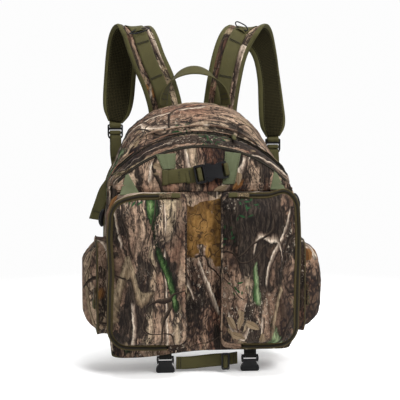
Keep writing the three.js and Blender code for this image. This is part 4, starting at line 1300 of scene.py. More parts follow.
def flap_fold():
    """The cloth hinge between the fixed front and the organiser flap, which bends with the joint."""
    turn = np.radians(np.linspace(0, 90, 7))
    corner = np.stack([0.150 + 0.010 * np.sin(turn), -0.0525 - 0.010 * np.cos(turn)], 1)
    straight = np.stack([np.linspace(0.002, 0.146, 40), np.full(40, -0.0625)], 1)
    flank = [[0.1612, -0.046], [0.1622, -0.038], [0.1632, -0.030], [0.1640, -0.020]]
    half = np.vstack([straight, corner, flank])
    line = np.vstack([half[::-1] * [-1, 1], half])
    out = unit(np.stack([np.gradient(line[:, 1]), -np.gradient(line[:, 0])], 1))
    z = np.array([0.2935, 0.2955, 0.2975, 0.2995, 0.3015, 0.3035, 0.3055, 0.3072])
    swell = np.array([-0.0014, -0.0002, 0.0004, 0.0006, 0.0006, 0.0003, -0.0002, -0.0006])
    key = xyz(line[:, 0], line[:, 1], 0 * line[:, 0])
    rows = []
    for h, b in zip(z, swell):
        flat = line + out * (b + 0.0008 * noise(key + [0, 0, h], 42, 3))[:, None] * (0.4 if b < 0 else 1)
        rows.append(xyz(flat[:, 0], flat[:, 1], h))
    g = np.array(rows)
    g = turned(FRONT, g)
    pat = xyz(g[3][None, :, 0] + 2.3, z[:, None] + 0.5, 0.1)
    piece = Piece("flap_hinge_cloth")
    piece.sheet(g, CAMO, 0.0012, pat, inner=LINING)
    obj = piece.build(None, ())
    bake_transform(obj)


flap_fold()


def green_bands():
    """The sage strips sewn up the panel, each folded along its length."""
    for name, corners, node, size in (
        (
            "left_sage_band",
            [[-0.073, 0.334], [-0.050, 0.336], [-0.049, 0.3635], [-0.085, 0.361]],
            "left_green_band",
            24,
        ),
        (
            "right_sage_band",
            [[0.036, 0.3065], [0.058, 0.3065], [0.071, 0.362], [0.042, 0.366]],
            "right_green_band",
            40,
        ),
    ):
        p = on_panel(corners, 0.0020, 24, size, 0.0008)
        p = p + grid_normals(p) * (rumple(p, 0.0009, 40, 91))[..., None]
        piece = Piece(name)
        piece.sheet(p, SAGE, 0.0007, p[..., [0, 2, 1]] * [1, 1, 0])
        for col in (2, -3):
            stitches(piece, p[:, col] + [0, -0.00015, 0], np.array([0, -1.0, 0]), mat=THREAD)
        piece.build("organiser_flap", (node,))
    for name, corners in (
        ("left_corner_wedge", [[-0.152, 0.2895], [-0.115, 0.2895], [-0.1355, 0.3270], [-0.1405, 0.3235]]),
        ("right_corner_wedge", [[0.124, 0.2960], [0.152, 0.2960], [0.1385, 0.3245], [0.1325, 0.3290]]),
    ):
        p = on_panel(corners, 0.0020, 8, 20)
        piece = Piece(name)
        piece.sheet(p, SAGE, 0.0008, p[..., [0, 2, 1]] * [1, 1, 0])
        obj = piece.build(None, ())
        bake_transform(obj)


green_bands()


def front_strap():
    corners = [[-0.072, 0.3065], [0.008, 0.3145], [0.006, 0.3405], [-0.073, 0.3325]]
    p = on_panel(corners, 0.0016, 40, 12)
    u = np.linspace(0, 1, 12)[:, None] * 0.026
    v = np.linspace(0, 1, 40)[None] * 0.080
    pat = xyz(u, v, 0.0)
    p = p + grid_normals(p) * (0.0008 * np.sin(v / 0.080 * 9) * np.sin(np.pi * u / 0.026))[..., None]
    piece = Piece("front_strap_band")
    piece.sheet(p, OLIVE_WEB, 0.0013, pat)
    for col in (14, 15):
        stitches(piece, p[1:-1, col] + [0, -0.0003, 0], np.array([0, -1.0, 0.1]), mat=DARK_THREAD)
    folded = on_panel(
        [[-0.0742, 0.3052], [-0.0630, 0.3064], [-0.0638, 0.3338], [-0.0750, 0.3332]], 0.0034, 5, 14
    )
    piece.sheet(folded, OLIVE_WEB, 0.0012, folded[..., [0, 2, 1]] * [1, 1, 0])
    piece.build("organiser_flap", ("front_strap_webbing",))


front_strap()


# ---------------------------------------------------------------- pockets
COVER_INSET = 0.0095
COVER_LIFT = 0.0008
PIPING = 0.0016
# Each pocket's random seed, then its place in the print and its tone.
POCKET_PRINT = {
    "left_front": (101, (3.11, 0.0, 0.20)),
    "right_front": (131, (4.37, 0.6, -0.95)),
    "left_side": (161, (5.3, 0.2, 0.1)),
    "right_side": (191, (6.2, 0.9, -0.8)),
}


def pocket_spec(kind, side):
    """A pocket's sizes: a runs across its face, b up it and h outwards. Its cover hinges at one end of a."""
    name = f"{side_name(side)}_{kind}"
    seed, shift = POCKET_PRINT[name]
    if kind == "front":
        a0, a1 = (-0.176, -0.033) if side < 0 else (0.033, 0.176)
        radii = [0.038, 0.012, 0.012, 0.038] if side < 0 else [0.012, 0.038, 0.038, 0.012]
        s = dict(a0=a0, a1=a1, b0=0.010, b1=0.293, radii=radii, base=0.0604, rim=0.084, face=0.114)
        s.update(node=f"{side_name(side)}_pocket", hinge=1 if side < 0 else 0, out=np.array([0, -1.0, 0]))
        s["put"] = lambda a, b, h: xyz(a, -h, b)
    else:
        s = dict(a0=-0.064, a1=0.052, b0=0.027, b1=0.201, radii=[0.026, 0.026, 0.030, 0.030], base=0.1745)
        s.update(rim=0.191, face=0.208 if side < 0 else 0.219)
        s.update(node=name, hinge=0, out=np.array([side, 0, 0.0]))
        s["put"] = lambda a, b, h: xyz(side * h, -a, b)
    s.update(front=kind == "front", name=name, seed=seed, shift=shift, hinge_a=(s["a0"], s["a1"])[s["hinge"]])
    return s


def sway(s, a, b):
    """Lets a pocket's outline wander and its bottom sag, but not where a slider runs or at the hinge."""
    q = xyz(a, b, 0 * a + s["seed"])
    if s["front"]:
        amount = 0.0058
        free = smooth(0.292, 0.262, b) * smooth(0.0, 0.03, np.abs(a - s["hinge_a"]))
        share = np.clip((a - s["a0"]) / (s["a1"] - s["a0"]), 0, 1)
        db = -0.0055 * np.sin(np.pi * share) * smooth(0.08, 0.005, b)
        tilt = 0.0085 if s["hinge"] == 0 else -0.0070
        db = db + tilt * smooth(0.112, 0.154, np.abs(a)) * smooth(0.13, 0.285, b)
    else:
        amount = 0.004
        free = smooth(0.050, 0.020, a) * smooth(-0.064, -0.04, a)
        db = 0.0
    return a + amount * free * noise(q, 13, 2), b + amount * free * noise(q, 13, 8) + db


def inset_outline(s, inset, spacing=0.0028):
    """The pocket's outline, moved in by inset."""
    edges = s["a0"] + inset, s["a1"] - inset, s["b0"] + inset, s["b1"] - inset
    return rounded_outline(*edges, [r - inset for r in s["radii"]], spacing)


def kept_run(points, keep):
    """The kept points of a closed outline, as one run from gap to gap."""
    order = np.roll(np.arange(len(points)), -int(np.argmax(~keep)))
    return points[order][keep[order]]


def cover_rect(s):
    """The cover's edges: inside the zip on three sides, and out to the hinge on the fourth."""
    r = [s["a0"] + COVER_INSET, s["a1"] - COVER_INSET, s["b0"] + COVER_INSET, s["b1"] - COVER_INSET]
    r[s["hinge"]] += COVER_INSET if s["hinge"] == 1 else -COVER_INSET
    return r


def mossy_limb(a, b):
    """Where the limb printed down the left cover lies: 1 along its lit side, 0 off it."""
    height = (b - 0.060) / 0.225
    middle = -0.047 - 0.046 * height + 0.004 * np.sin(7.0 * height)
    place = (a - middle) / (0.0135 + 0.0100 * height)
    lit = np.clip(np.minimum((place + 1) / 0.55, (1 - place) / 1.45), 0, 1)
    knot = 1 - 0.42 * smooth(0.05, 0.01, np.abs(b - 0.216))
    return lit * smooth(0.055, 0.095, b) * smooth(0.290, 0.280, b) * knot


def dish(s, A, B, d):
    """How far the cover bulges from its rim. d is the distance inside its edge."""
    reach = 0.044 if s["front"] else 0.036
    t = np.clip(d / reach, 0, 1)
    rise = (s["face"] - s["rim"] - COVER_LIFT) * (1 - (1 - t) ** 2.1) ** 0.60
    v = (B - s["b0"]) / (s["b1"] - s["b0"])
    u = (A - s["a0"]) / (s["a1"] - s["a0"])
    crown = np.clip(4 * u * (1 - u), 0, 1) ** 0.9 * np.clip(4 * v * (1 - v), 0, 1) ** 0.6
    crown = crown * smooth(0, 0.03, d)
    if s["front"]:
        return rise * (0.84 + 0.16 * smooth(1.0, 0.35, v)) + 0.0022 * crown
    return rise * (0.50 + 0.50 * np.sin(np.pi * np.clip(v * 0.86 + 0.14, 0, 1)) ** 0.6) + 0.0095 * crown


def cover_folds(s, A, B, d):
    """How far the cover's cloth stands off its dish: rumples all over, and sagging folds low down."""
    seed = s["seed"]
    q = xyz(A, B, 0 * A + seed)
    v = (B - s["b0"]) / (s["b1"] - s["b0"])
    height = rumple(q, 0.0050, 15, seed, (1.25, 0.75, 1)) + rumple(q, 0.0015, 60, seed + 7, (1.2, 0.8, 1))
    sag = 0.0060 * (creases(q * [0.5, 1.6, 1], 26, seed + 9) - 0.45) * smooth(0.35, 0.0, v)
    return (height + sag) * smooth(0.0, 0.016, d)


def pocket_cover(s):
    """The cover: a full dish of cloth, inflated and then rumpled, piped on its zipped edges."""
    r = cover_rect(s)
    radii = [max(0.008, v - COVER_INSET) for v in s["radii"]]
    na, nb = (60, 108) if s["front"] else (50, 74)
    A, B, d = rounded_grid(*r, radii, na, nb, bunch=0.75)
    P = xyz(A, B, s["rim"] + COVER_LIFT + dish(s, A, B, d))
    cap = 0.0065 if s["front"] else 0.005
    moved = inflate(P, d < 2e-4, cap, pressure=-3.5, shrink=-0.035)
    nor = grid_normals(moved)
    if nor[na // 2, nb // 2, 2] < 0:
        nor = -nor
    moved = moved + nor * cover_folds(s, A, B, d)[..., None]
    over, swell = (0.0012, 0.0024) if s["front"] else (0.001, 0.0105)
    low_a, high_a = r[0] - over * (s["hinge"] != 0), r[1] + over * (s["hinge"] != 1)
    moved[..., 0] = np.clip(moved[..., 0], low_a, high_a)
    moved[..., 1] = np.clip(moved[..., 1], r[2] - over, r[3] + over)
    moved[..., 2] = np.clip(moved[..., 2], s["rim"] + COVER_LIFT, s["face"] + swell)
    cloth_grid = s["put"](*sway(s, moved[..., 0], moved[..., 1]), moved[..., 2])
    shift = s["shift"]
    pat = xyz(A + shift[0], B + shift[1], 0 * A + shift[2])
    if s["name"] == "left_front":
        pat[..., 2] -= (shift[2] + 3.0) * mossy_limb(A, B)
    cloth_grid, pat = turned(s["out"], cloth_grid, pat, axis=0)
    piece = Piece(f"{s['name']}_cover_cloth")
    piece.sheet(cloth_grid, CAMO, 0.0022, pat, inner=LINING, edge=LINING)
    edge = rounded_outline(*r, radii, 0.0028)
    ring = s["put"](*sway(s, *edge.T), s["rim"] + 0.0024)
    keep = np.abs(edge[:, 0] - r[s["hinge"]]) > (0.030 if s["front"] else 0.0)
    piece.tube(kept_run(ring, keep), 0.00155, ZIP_BAND, sides=8, up=s["out"])
    piece.build(f"{s['node']}_cover", (f"{s['node']}_cover",))


def pocket_gusset(s):
    """The wall behind the zip, sewn to the bag at its foot and piped at its rim."""
    put, base, height = s["put"], s["base"], s["rim"] - s["base"]
    outline = inset_outline(s, 0, 0.0030)
    tangent = unit(np.roll(outline, -1, 0) - np.roll(outline, 1, 0))
    normal = np.stack([tangent[:, 1], -tangent[:, 0]], 1)
    levels = np.linspace(0, 1, 12)
    sewn = outline - normal * 0.012
    rows = [put(*sewn.T, base + 0.0004)]
    for k in levels:
        h = base + height * k
        belly = rumple(xyz(*outline.T, h), 0.0017, 24, s["seed"] + 11, (1, 1, 0.5)) - 0.0008
        o = outline + normal * (belly * math.sin(math.pi * k) ** 0.8)[:, None]
        o = o + (np.stack(sway(s, *o.T), 1) - o) * smooth(0, 0.7, k)
        rows.append(put(*o.T, h))
    wall = np.array(rows)
    wall = np.concatenate([wall, wall[:, :1]], 1)
    depths = np.concatenate([[-0.012], levels * height])[:, None]
    length = arc_length(np.vstack([outline, outline[:1]]))
    pat = xyz(depths + s["shift"][0] + 0.3, length[None], s["shift"][2])
    nor = grid_normals(np.concatenate([wall[:, -3:-1], wall, wall[:, 1:3]], 1))[:, 2:-2]
    centre = put((s["a0"] + s["a1"]) / 2, (s["b0"] + s["b1"]) / 2, base)
    if ((wall[6] - centre) * nor[6]).sum() < 0:
        wall, pat = wall[:, ::-1], pat[:, ::-1]
    piece = Piece(f"{s['name']}_gusset_cloth")
    piece.sheet(wall, CAMO, 0.0021, pat, inner=LINING, loop=True)
    rim = inset_outline(s, 0.0014)
    welt = put(*sway(s, *rim.T), s["rim"] + 0.0011)
    if s["front"]:
        welt = kept_run(welt, np.abs(rim[:, 0] - s["hinge_a"]) > 0.033)
    piece.tube(welt, PIPING, ZIP_BAND, sides=8, closed=not s["front"], up=s["out"])
    piece.build("pack", (f"{s['node']}_gusset",))


def pocket_zip(s):
    """The zip between the two pipings, and plain cloth round the rest of the outline."""
    put = s["put"]
    outline = inset_outline(s, 0.0047)
    if s["front"]:
        zipped = np.abs(outline[:, 0] - s["hinge_a"]) > 0.036
    else:
        zipped = outline[:, 0] > -0.002
    middle = np.array([(s["a0"] + s["a1"]) / 2, (s["b0"] + s["b1"]) / 2])
    slope = 0.16
    piece = Piece(f"{s['name']}_zip_coil")
    for part in (zipped, ~zipped):
        line = kept_run(outline, part)
        along = unit(np.gradient(line, axis=0))
        inward = np.stack([-along[:, 1], along[:, 0]], 1)
        inward *= np.sign(((middle - line) * inward).sum(1))[:, None]
        path = put(*sway(s, *line.T), s["rim"] + 0.0010)
        across = unit(put(*inward.T, slope))
        face = unit(put(*(-inward.T * slope), 1.0))
        across = across * np.sign((np.cross(across, unit(np.gradient(path, axis=0))) * face).sum(1))[:, None]
        if part is zipped:
            zip_strip(piece, path, face, across, 0.0040, ZIP_BAND)
        else:
            place = s["shift"][0] + 1.7
            piece.strap(path + face * 0.0012, across * 0.0062, 0.0012, CAMO, 0.0012, pat_offset=place)
    piece.build("pack", (f"{s['name']}_zip",))


for which in ("front", "side"):
    for sign in (-1, 1):
        spec = pocket_spec(which, sign)
        pocket_cover(spec)
        pocket_gusset(spec)
        pocket_zip(spec)


# ---------------------------------------------------------------- shoulder straps
# Stations up each strap, over its crest and down to the ladder lock: x, y, z and half width in mm.
STRAP_LINES = {
    "left": [
        (52, 107, 412, 33), (55, 107, 445, 33), (68, 109, 490, 33), (85, 114, 530, 33), (97, 124, 566, 33),
        (105, 139, 588, 32), (115, 157, 592, 32), (126, 171, 575, 32), (132, 179, 545, 32), (
            136, 181, 500, 32
        ),
        (140, 177, 455, 31), (144, 171, 428, 26), (148, 168, 408, 14),
    ],
    "right": [
        (50, 107, 412, 33), (53, 107, 445, 33), (60, 108, 490, 33), (70, 112, 535, 33), (83, 121, 568, 33),
        (99, 137, 588, 32), (117, 156, 590, 32), (134, 171, 572, 32), (146, 179, 540, 32), (
            154, 182, 495, 32
        ),
        (159, 180, 445, 32), (163, 174, 402, 27), (164, 171, 378, 14),
    ],
}
# The way the strap's width points at each station: its lean in Y, then in Z, for each 1 in X.
STRAP_YAW = {
    "left": [0, 0, 0, 0, 0, 0, 0.08, 0.22, 0.3, 0.3, 0.25, 0.08, 0],
    "right": [0, 0, 0, 0, 0, 0, 0.06, 0.36, 0.7, 0.8, 0.6, 0.25, 0],
}
STRAP_ROLL = [0, -0.1, -0.2, -0.2, -0.14, -0.06, 0, 0, 0, 0, 0, 0, 0]
PAD_T = 0.009


def strap_frame(side, start, end, count):
    """Middle, side, outward normal and half width along a shoulder strap's outer face."""
    line = np.array(STRAP_LINES[side_name(side)], float) / 1000
    lean = unit(xyz(np.ones(13), STRAP_YAW[side_name(side)], STRAP_ROLL))
    dense = spline(np.concatenate([line[:, :3], line[:, 3:], lean], 1), 1201)
    t = np.linspace(start, end, count) * 1200
    got = np.stack([np.interp(t, np.arange(1201), dense[:, k]) for k in range(7)], 1)
    at = got[:, :3]
    tan = unit(np.stack([np.interp(t, np.arange(1201), np.gradient(dense[:, k])) for k in range(3)], 1))
    s = got[:, 4:7]
    s = unit(s - tan * (s * tan).sum(1, keepdims=True))
    nor = unit(np.cross(s, tan))
    if side < 0:
        at, s, nor, tan = at * [-1, 1, 1], s * [1, -1, -1], nor * [-1, 1, 1], tan * [-1, 1, 1]
    return at, s, nor, got[:, 3], tan


def strap_pad(side):
    """Padded strap: printed cloth outside, mesh inside, webbing binding round the edge."""
    name = side_name(side)
    n = 150
    at, s, nor, half, _ = strap_frame(side, 0, 1, n)
    share = np.linspace(0, 1, n)
    ends = smooth(0, 0.02, share) * smooth(1, 0.985, share)
    along = arc_length(at)
    tufts = 0.5 + 0.5 * np.cos(2 * np.pi * along / 0.070)
    u = np.concatenate([np.linspace(-1, 1, 25), np.linspace(1, -1, 25)])
    face = np.concatenate([np.ones(25), -np.ones(25)])
    sections, pats = [], []
    for i in range(n):
        w = half[i]
        x = u * w
        edge = np.clip((w - np.abs(x)) / 0.0085, 0, 1)
        plump = (1 - (1 - edge) ** 2) ** 0.5
        thick = (0.0002 + np.where(face > 0, 0.0044, 0.0046) * plump) * (0.45 + 0.55 * ends[i])
        middle = np.exp(-((x / 0.017) ** 4))
        press = np.where(face > 0, -0.0016 * middle * (0.3 + 0.7 * tufts[i]), -0.0013 * middle * tufts[i])
        key = xyz(x, np.full_like(x, along[i]), face * 0.1 + side)
        soft = rumple(key, 0.0009, 34, 211) * edge
        h = face * (thick + press + soft) - PAD_T / 2
        sections.append(at[i] + x[:, None] * s[i] + h[:, None] * nor[i])
        pats.append(xyz(x + (7.1 if side < 0 else 7.9), np.full_like(x, along[i]), 0 * x))
    middles = np.abs(u + np.roll(u, -1)) / 2
    mats = [BINDING if v > 0.74 else CAMO if f > 0 else MESH for v, f in zip(middles, face)]
    piece = Piece(f"{name}_strap_padding")
    sec = np.array(sections)
    piece.sweep(at, sec, mats, pat=np.array(pats))
    for k, where in ((4, 1), (20, 1), (29, -1), (45, -1)):
        line = sec[4:-4, k] + nor[4:-4] * 0.0001 * where
        stitches(piece, line, nor[4:-4] * where, mat=THREAD)
    piece.build(f"{name}_strap", (f"{name}_strap_pad",))


def bartack(piece, at, s, tan, nor, half):
    """A dense bar of stitching across a band."""
    path = np.array([at + s * half * v for v in np.linspace(-1, 1, 15)])
    wob = np.array([tan * 0.0006 * (1 if k % 2 else -1) for k in range(15)])
    piece.tube(path + wob + nor * 0.0002, 0.0006, DARK_THREAD, sides=5, up=tuple(nor))


def strap_webbing(side):
    """Daisy webbing down the middle of the strap, sewn at every 70 mm and slack between."""
    name = side_name(side)
    n = 170
    at, s, nor, _, tan = strap_frame(side, 0.05, 0.88, n)
    along = arc_length(at)
    pitch = 0.070
    slack = 0.0009 * (0.5 - 0.5 * np.cos(2 * np.pi * along / pitch))
    lift = 0.0013 + slack
    piece = Piece(f"{name}_daisy_webbing")
    piece.strap(at + nor * lift[:, None], s * 0.0138, 0.0014, OLIVE_WEB, columns=6)
    for k in range(int(along[-1] / pitch) + 1):
        i = int(np.argmin(np.abs(along - k * pitch)))
        i = min(max(i, 1), n - 2)
        for d in (-0.0012, 0.0012):
            bartack(piece, at[i] + nor[i] * (lift[i] + 0.0009) + tan[i] * d, s[i], tan[i], nor[i], 0.0118)
    piece.build(f"{name}_strap", (f"{name}_strap_webbing",))


def lower_webbing(side):
    """The adjusting webbing from the pack's lower corner to the ladder lock, blended between them."""
    name = side_name(side)
    x, y, z = [v / 1000 for v in STRAP_LINES[name][-1][:3]]
    top = z - 0.0032 - 0.057
    pts = [
        (side * 0.151, 0.100, 0.034), (side * 0.151, 0.120, 0.110), (side * 0.150, 0.148, 0.210),
        (side * (x - 0.004), y - 0.008, top - 0.050), (side * x, y - 0.0048, top),
        (side * x, y - 0.0020, z - 0.0372),
    ]
    path = resample(spline(pts, 200), 110)
    piece = Piece(f"{name}_lower_strap_webbing")
    piece.strap(path, np.array([0.0104, 0, 0]), 0.0015, OLIVE_WEB, columns=6)
    for k in (3, 6, 9):
        bartack(
            piece,
            path[k] + np.array([0, 0.0010, 0]),
            np.array([1.0, 0, 0]),
            np.array([0, 0, 1.0]),
            np.array([0, 1.0, 0]),
            0.0092,
        )
    obj = piece.build(None, (f"{name}_lower_webbing",))
    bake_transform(obj)


def lock_place(side):
    """Where a ladder lock hangs, at the low end of its strap."""
    x, y, z = [v / 1000 for v in STRAP_LINES[side_name(side)][-1][:3]]
    return np.array([side * x, y - 0.004, z - 0.0032])


def profile(centre, steps, count):
    """A smooth line through steps (out, up) round a centre."""
    return spline([centre + [0, out, up] for out, up in steps], count)


def lock_lacing(side):
    """The webbing round the ladder lock's bars, and its loose tail."""
    at = lock_place(side)
    piece = Piece(f"{side_name(side)}_lock_lacing")
    turns = [
        (0.0034, -0.0350), (0.0036, -0.0270), (0.0014, -0.0216), (-0.0030, -0.0186), (-0.0038, -0.0165),
        (-0.0030, -0.0144), (0.0010, -0.0122), (0.0036, -0.0150), (0.0040, -0.0190),
    ]
    piece.strap(profile(at, turns, 50), np.array([0.0106, 0, 0]), 0.0012, OLIVE_WEB, columns=5)
    tail = [
        (0.0006, -0.0204), (-0.0022, -0.0226), (-0.0040, -0.0262), (-0.0044, -0.0310), (-0.0050, -0.0400),
        (-0.0056, -0.0520), (-0.0050, -0.0640),
    ]
    line = spline([at + [0.0004 * k, out, up] for k, (out, up) in enumerate(tail)], 50)
    piece.strap(line, np.array([0.0104, 0, 0]), 0.0014, OLIVE_WEB, columns=5)
    piece.build(f"{side_name(side)}_ladder_lock")


def lock_hanger(side):
    """The loop that holds the ladder lock, sewn under the end of the strap."""
    steps = [
        (0.0015, 0.020), (0.0016, 0.010), (-0.0005, 0.004), (-0.0042, 0.0000), (-0.0049, -0.0028),
        (-0.0035, -0.0059), (0.0002, -0.0068), (0.0041, -0.0057), (0.0051, -0.0022), (0.0050, 0.0020),
        (0.0050, 0.008), (0.0056, 0.018),
    ]
    piece = Piece(f"{side_name(side)}_lock_hanger")
    loop = profile(lock_place(side), steps, 46)
    piece.strap(loop, np.array([0.0112, 0, 0]), 0.0012, OLIVE_WEB, columns=5)
    piece.build(f"{side_name(side)}_strap")


def cord_loop_piece(side):
    """An elastic cord loop lying on the strap's crest, with a webbing keeper over it."""
    name = side_name(side)
    at, s, nor, _, tan = strap_frame(side, 0.4, 0.42, 2)
    perch = at[0] + nor[0] * 0.0056
    h = s[0] * (0.020 if side < 0 else 0.0135)
    rise = unit(at[0] - at[1]) * 0.008 if side < 0 else np.array([0, -0.0005, 0.0118])
    a = np.linspace(0, 2 * math.pi, 90, endpoint=False)
    wob = 0.0006 * np.sin(3 * a)[:, None] * nor[0]
    path = perch + np.cos(a)[:, None] * h + (0.5 + 0.5 * np.sin(a))[:, None] * rise + wob
    piece = Piece(f"{name}_elastic_loop")
    piece.tube(path, 0.0012, CORD, sides=8, closed=True, up=tuple(nor[0]))
    piece.build(f"{name}_cord_loop", (f"{name}_cord_loop",))
    keeper = Piece(f"{name}_cord_keeper")
    foot = perch - nor[0] * 0.0028
    line = np.array([foot + s[0] * v for v in np.linspace(-0.010, 0.010, 12)])
    keeper.strap(
        line + nor[0] * np.interp(
            np.linspace(-1, 1, 12), [-1, -0.5, 0.5, 1], [0, 0.0042, 0.0042, 0]
        )[:, None],
        tan[0] * 0.0042,
        0.0009,
        OLIVE_WEB,
        columns=4,
    )
    keeper.build(f"{name}_strap")


def grab_handle():
    a = np.linspace(math.pi, 0, 90)
    turn = np.radians(130 - 75 * np.sin(a) ** 2)
    radial = xyz(np.cos(a), 0 * a, np.sin(a))
    at = xyz(0.060 * np.cos(a), 0 * a + 0.084, 0.445 + 0.067 * np.sin(a))
    side = radial * np.cos(turn)[:, None] + xyz(0 * a, np.sin(turn), 0 * a)
    piece = Piece("grab_handle_webbing")
    piece.strap(at, unit(side) * 0.0125, 0.0018, OLIVE_WEB, columns=6)
    for k in (5, 9, -6, -10):
        n = unit(np.cross(side[k], at[k + 1] - at[k - 1]))
        bartack(piece, at[k] - n * 0.0011, unit(side[k]), unit(at[k + 1] - at[k - 1]), n, 0.011)
        bartack(piece, at[k] + n * 0.0007, unit(side[k]), unit(at[k + 1] - at[k - 1]), n, 0.011)
    piece.build("grab_handle", ("grab_handle",))


for sign in (-1, 1):
    strap_pad(sign)
    strap_webbing(sign)
    lower_webbing(sign)
    lock_lacing(sign)
    lock_hanger(sign)
    cord_loop_piece(sign)
grab_handle()


# ---------------------------------------------------------------- buckles, webbing folds and hardware
def buckle_frame(origin, travel, out):
    z = unit(np.array(out, float))
    y = unit(np.cross(z, np.array(travel, float)))
    x = np.cross(y, z)
    return lambda p: np.asarray(origin) + np.asarray(p, float) @ np.array([x, y, z])


SEAT = np.array([0.0045, 0.0, 0.3275])
SEAT[1] = panel_y(SEAT[0], SEAT[2], False) - 0.0092
LEAN = math.radians(10)
FRONT_PUT = buckle_frame(SEAT, (math.cos(LEAN), 0, math.sin(LEAN)), (0, -1, 0.136))


def fold(name, points, width, thick, put, body, node, mat, tack):
    """A folded webbing: points are (along, out) in the buckle's frame, in mm, sewn at tack."""
    line = spline(points, len(points) * 6)
    path = put(xyz(line[:, 0], 0 * line[:, 0], line[:, 1]) / 1000)
    side = put([[0, 1, 0]])[0] - put([[0, 0, 0]])[0]
    piece = Piece(name)
    piece.strap(path, side * width / 2, thick, mat, columns=5)
    along = unit(path[tack + 1] - path[tack - 1])
    out = unit(np.cross(side, along))
    for way in (out, -out):
        bartack(piece, path[tack] + way * (thick / 2 + 0.0002), side, along, way, width / 2 * 0.85)
    return piece.build(body, (node,))


PLUG_LOOP = [
    [-36, -6.6], [-24, -6.3], [-18, -5.6], [-15.4, -3.2], [-14.7, 0.5], [-13.4, 2.9], [-11.3, 3.3],
    [-8.6, 3.1], [-6.9, 1], [-6.5, -2], [-6.5, -5],
]
SOCKET_TAB = [
    [50, -7.4], [46, -6.6], [42.8, -3.6], [42.2, 0.2], [41.2, 2.9], [38.9, 3.4], [36.4, 2.4], [35.6, 0],
    [35.6, -3], [36.4, -6],
]
BASE_TAB = [
    [43.0, -22], [42.9, -12], [42.6, -5], [41.6, -0.5], [38.6, 1.6], [34, 2.6], [31, 3.4], [28, 3.9],
    [25.1, 2.4], [24.5, -0.5], [24.8, -3.4], [26.6, -6],
]
fold(
    "front_plug_loop",
    PLUG_LOOP,
    0.025,
    0.0012,
    FRONT_PUT,
    "front_buckle_plug",
    "front_strap_loop",
    OLIVE_WEB,
    4,
)
fold(
    "front_socket_tab",
    SOCKET_TAB,
    0.023,
    0.0012,
    FRONT_PUT,
    "organiser_flap",
    "front_buckle_tab",
    OLIVE_WEB,
    4,
)

DROP_Y = -0.046
for name, x in (("left", -0.068), ("right", 0.090)):
    put = buckle_frame((x, DROP_Y, -0.0440), (0, 0, 1), (0, -1, 0))
    fold(f"{name}_base_tab", BASE_TAB, 0.023, 0.0010, put, "pack", f"{name}_bottom_tab", BLACK_WEB, 34)


def bottom_webbing():
    """The webbing that hangs slack along the front of the base, sewn down at both ends."""
    pts = [
        (-48, -26.6, 12), (-30, -27.4, 12), (-12, -26.6, 12), (6, -24.6, 12), (22, -22.6, 12),
        (36, -21.2, 11.6), (50, -20, 11), (66, -18.4, 11),
    ]
    mid, side = [], []
    for i, (x, z, half) in enumerate(pts):
        mid.append((x, DROP_Y * 1000 - 2 + 4 * math.sin(i * 0.8), z))
        side.append((0, (i - 3) * 0.5, half))
    both = spline(np.concatenate([mid, side], 1), 90) / 1000
    piece = Piece("base_front_webbing")
    piece.strap(both[:, :3], both[:, 3:], 0.0015, OLIVE_WEB, columns=6)
    for i in (3, 6, -7, -4):
        t = unit(both[i + 1 if i > 0 else i, :3] - both[i - 1, :3])
        s = unit(both[i, 3:])
        n = unit(np.cross(s, t))
        for where in (1, -1):
            bartack(piece, both[i, :3] + n * where * 0.0009, s, t, n * where, 0.0100)
    piece.build("pack", ("bottom_webbing",))


def tri_glide_lacing():
    """The short length laced over the tri-glide's middle bar."""
    gx, gy, gz = 0.043, DROP_Y - 0.011, -0.0235
    prof = [
        (-0.0066, 0.0024), (-0.0056, 0.0018), (-0.0042, 0.0002), (-0.0026, -0.0028), (0.0, -0.0036),
        (0.0026, -0.0028), (0.0042, 0.0002), (0.0056, 0.0018), (0.0066, 0.0024),
    ]
    loop = spline([(gx + a, gy + b, gz) for a, b in prof], 40)
    piece = Piece("tri_glide_lacing")
    piece.strap(loop, np.array([0, 0, 0.0122]), 0.0011, OLIVE_WEB, columns=6)
    piece.build("bottom_tri_glide")


bottom_webbing()
tri_glide_lacing()


def webbing_tail():
    """The loose end of webbing at the left, folded over and tacked."""
    pts = [(-162, 60, 300), (-173.5, 57, 284), (-181, 53, 266), (-188, 49, 248), (-194, 46, 232)]
    end = spline(np.array(pts) / 1000, 50)
    twist = np.linspace(-1, 1, 50)[:, None]
    side = unit(np.array([0.86, -0.42, -0.30]) + np.array([0.10, -0.25, 0.2]) * twist) * 0.0115
    piece = Piece("left_webbing_tail")
    piece.strap(end, side, 0.0016, OLIVE_WEB, columns=6)
    back = end[-1] + (end[-16:][::-1] - end[-1]) * 0.9 + np.array([0.0, 0.0032, 0.0])
    piece.strap(back, side[-16:][::-1], 0.0015, OLIVE_WEB, columns=6)
    at = end[38] + np.array([0, -0.0014, 0])
    bartack(piece, at, unit(side[38]), unit(end[39] - end[37]), np.array([0, -1.0, 0]), 0.0100)
    piece.build("pack")


def cord_toggle(side, x, z):
    """A moulded toggle hanging beside a front pocket."""
    path = [
        (x, 0.006, z + 0.016),
        (x + side * 0.004, 0.003, z + 0.006),
        (x + side * 0.006, 0.0, z - 0.006),
        (x + side * 0.004, -0.002, z - 0.016),
    ]
    radius = 0.0014 + 0.0036 * np.sin(np.linspace(0, np.pi, 26)) ** 0.5
    piece = Piece(f"{side_name(side)}_cord_toggle")
    piece.tube(spline(path, 26), radius, PLASTIC, sides=14, up=(0, 1, 0))
    piece.build("pack")


def pull_face(node, centre):
    """The way a pull faces: forwards on the front, outwards on the sides, and up from the arc on the dome."""
    if "front" in node:
        return np.array([0, -1.0, 0.28])
    if "side" in node:
        return np.array([-1.0 if "left" in node else 1.0, -0.28, 0])
    arc = MAIN_ARC if node == "main_pull" else ORG_ARC
    return unit(centre * [1, 0, 1] - [0, 0, arc["z"]])


